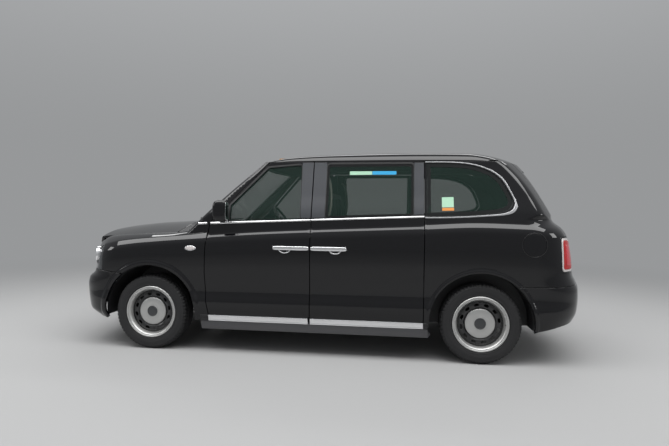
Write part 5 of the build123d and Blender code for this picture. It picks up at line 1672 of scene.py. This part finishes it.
s = np.linspace(0, 2 * np.pi, 20, endpoint=False)
RIM_SECTION = np.stack([0.178 + 0.0125 * np.cos(s), 0.0135 * np.sin(s)], -1)
BOSS = [(0, 0.012), (0.030, 0.011), (0.050, 0.006), (0.057, -0.002), (0.052, -0.014), (0, -0.015)]
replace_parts(surface("wheel_rim", spun(RIM_SECTION, WHEEL_MIDDLE, COLUMN_AXIS, 120), "steering_wheel",
                    "wheel_leather"), "steering_wheel")
surface("wheel_boss", spun(BOSS, WHEEL_MIDDLE, COLUMN_AXIS, 64), "steering_wheel", "wheel_leather",
        (True, False))
for k, way in enumerate((np.array((0.0, 1.0, 0.0)), np.array((0.0, -1.0, 0.0)), WHEEL_DOWN)):
    spoke = [WHEEL_MIDDLE + way * r - COLUMN_AXIS * 0.003 for r in (0.040, 0.100, 0.170)]
    tube(f"wheel_spoke_{k}", spoke, 0.0085, "steering_wheel", "wheel_leather")
RAIL = [(0.045, 0.690, 1.640), (0.085, 0.700, 1.600), (0.110, 0.720, 1.480), (0.110, 0.738, 1.330),
        (0.080, 0.752, 1.215), (0.045, 0.752, 1.180)]
for side, way in (("left", -1), ("right", 1)):
    tube(f"grab_rail_{side}", np.array(RAIL) * (1, way, 1), 0.012, "body", "rail_pale", slot="trim_black")
    tube(f"headrest_post_{side}", [(-0.100, 0.415 + way * 0.050, 1.080), (-0.098, 0.415 + way * 0.050, 1.190)],
         0.006, "body", "steel", slot="seat_cloth")

# %% [markdown]
# ## Partition, stickers and borders
# A clear partition stands behind the driver in a black frame. Plain coloured stickers lie on two of the left
# panes, without any words, and a black printed border runs round the quarter panes and the rear doors' panes.

# %% Partition


def flat_panel(name, corners_yz, holes, x, thick, finish, radius=0.04, slot=None):
    """Upright panel square to the car: an outline in (y, z) at x, with holes and a thickness."""
    def sheet(y, z):
        return np.stack([x + 0 * y, y, z], -1)
    shape = cut(sheet, rounded(corners_yz, radius), [rounded(h, 0.03) for h in holes], thick, 0.002, step=0.06)
    return panel(name, shape, "body", finish, finish, slot=slot)


PARTITION_OUTLINE = [(-0.712, 0.285), (0.712, 0.285), (0.712, 1.490), (-0.712, 1.490)]
PARTITION_WINDOWS = [[(-0.665, 0.960), (-0.020, 0.960), (-0.020, 1.445), (-0.665, 1.445)],
                     [(0.020, 0.960), (0.665, 0.960), (0.665, 1.445), (0.020, 1.445)]]
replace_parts(flat_panel("partition_frame", PARTITION_OUTLINE, PARTITION_WINDOWS, 0.047, 0.014, "trim_black",
                       slot="glass_tint"), "partition")
for k, window in enumerate(PARTITION_WINDOWS):
    flat_panel(f"partition_pane_{k}", window, [], 0.042, 0.005, "clear_pane", 0.03, "glass_tint")
print("partition panes:", len(PARTITION_WINDOWS))

# %% Stickers and borders


def sticker(name, corners, finish, rider):
    """Thin patch just outside a pane of the left side."""
    shape = cut(side_body, side_loop(side_body, corners, 0.004), [], 0.0004, 0.0001, -0.0054, 0.05)
    panel(name, shape, rider, finish, finish, slot="glass_tint")


sticker("sticker_pale", [(0.285, 1.632), (0.487, 1.634), (0.487, 1.666), (0.285, 1.664)], "sticker_green",
        "door_rear_left")
sticker("sticker_blue", [(0.489, 1.634), (0.703, 1.636), (0.703, 1.668), (0.489, 1.666)], "sticker_cyan",
        "door_rear_left")
sticker("sticker_square", [(1.100, 1.345), (1.200, 1.348), (1.200, 1.437), (1.100, 1.434)], "sticker_green",
        "body")
sticker("sticker_foot", [(1.102, 1.316), (1.202, 1.319), (1.202, 1.344), (1.102, 1.341)], "sticker_orange",
        "body")


def frit(name, outer, inner, rider, mirror):
    """Black printed border on a pane."""
    shape = cut(side_body, outer, [inner], 0.0005, 0.0001, -0.0056, 0.05)
    panel(name, shape, rider, "frit_black", "frit_black", mirror, "glass_tint")


quarter_inner = from_side(side_body, flowing(inset_loop(np.array(QUARTER_OPEN), 0.034), 5, (0, 17)))
rear_outer = side_loop(side_body, REAR_GLASS, 0.03, 0.005)
rear_inner = side_loop(side_body, REAR_GLASS, 0.04, 0.024)
for side, mirror in (("left", False), ("right", True)):
    frit(f"quarter_border_{side}", inset_loop(quarter_window, 0.003), quarter_inner, "body", mirror)
    frit(f"rear_border_{side}", rear_outer, rear_inner, f"door_rear_{side}", mirror)
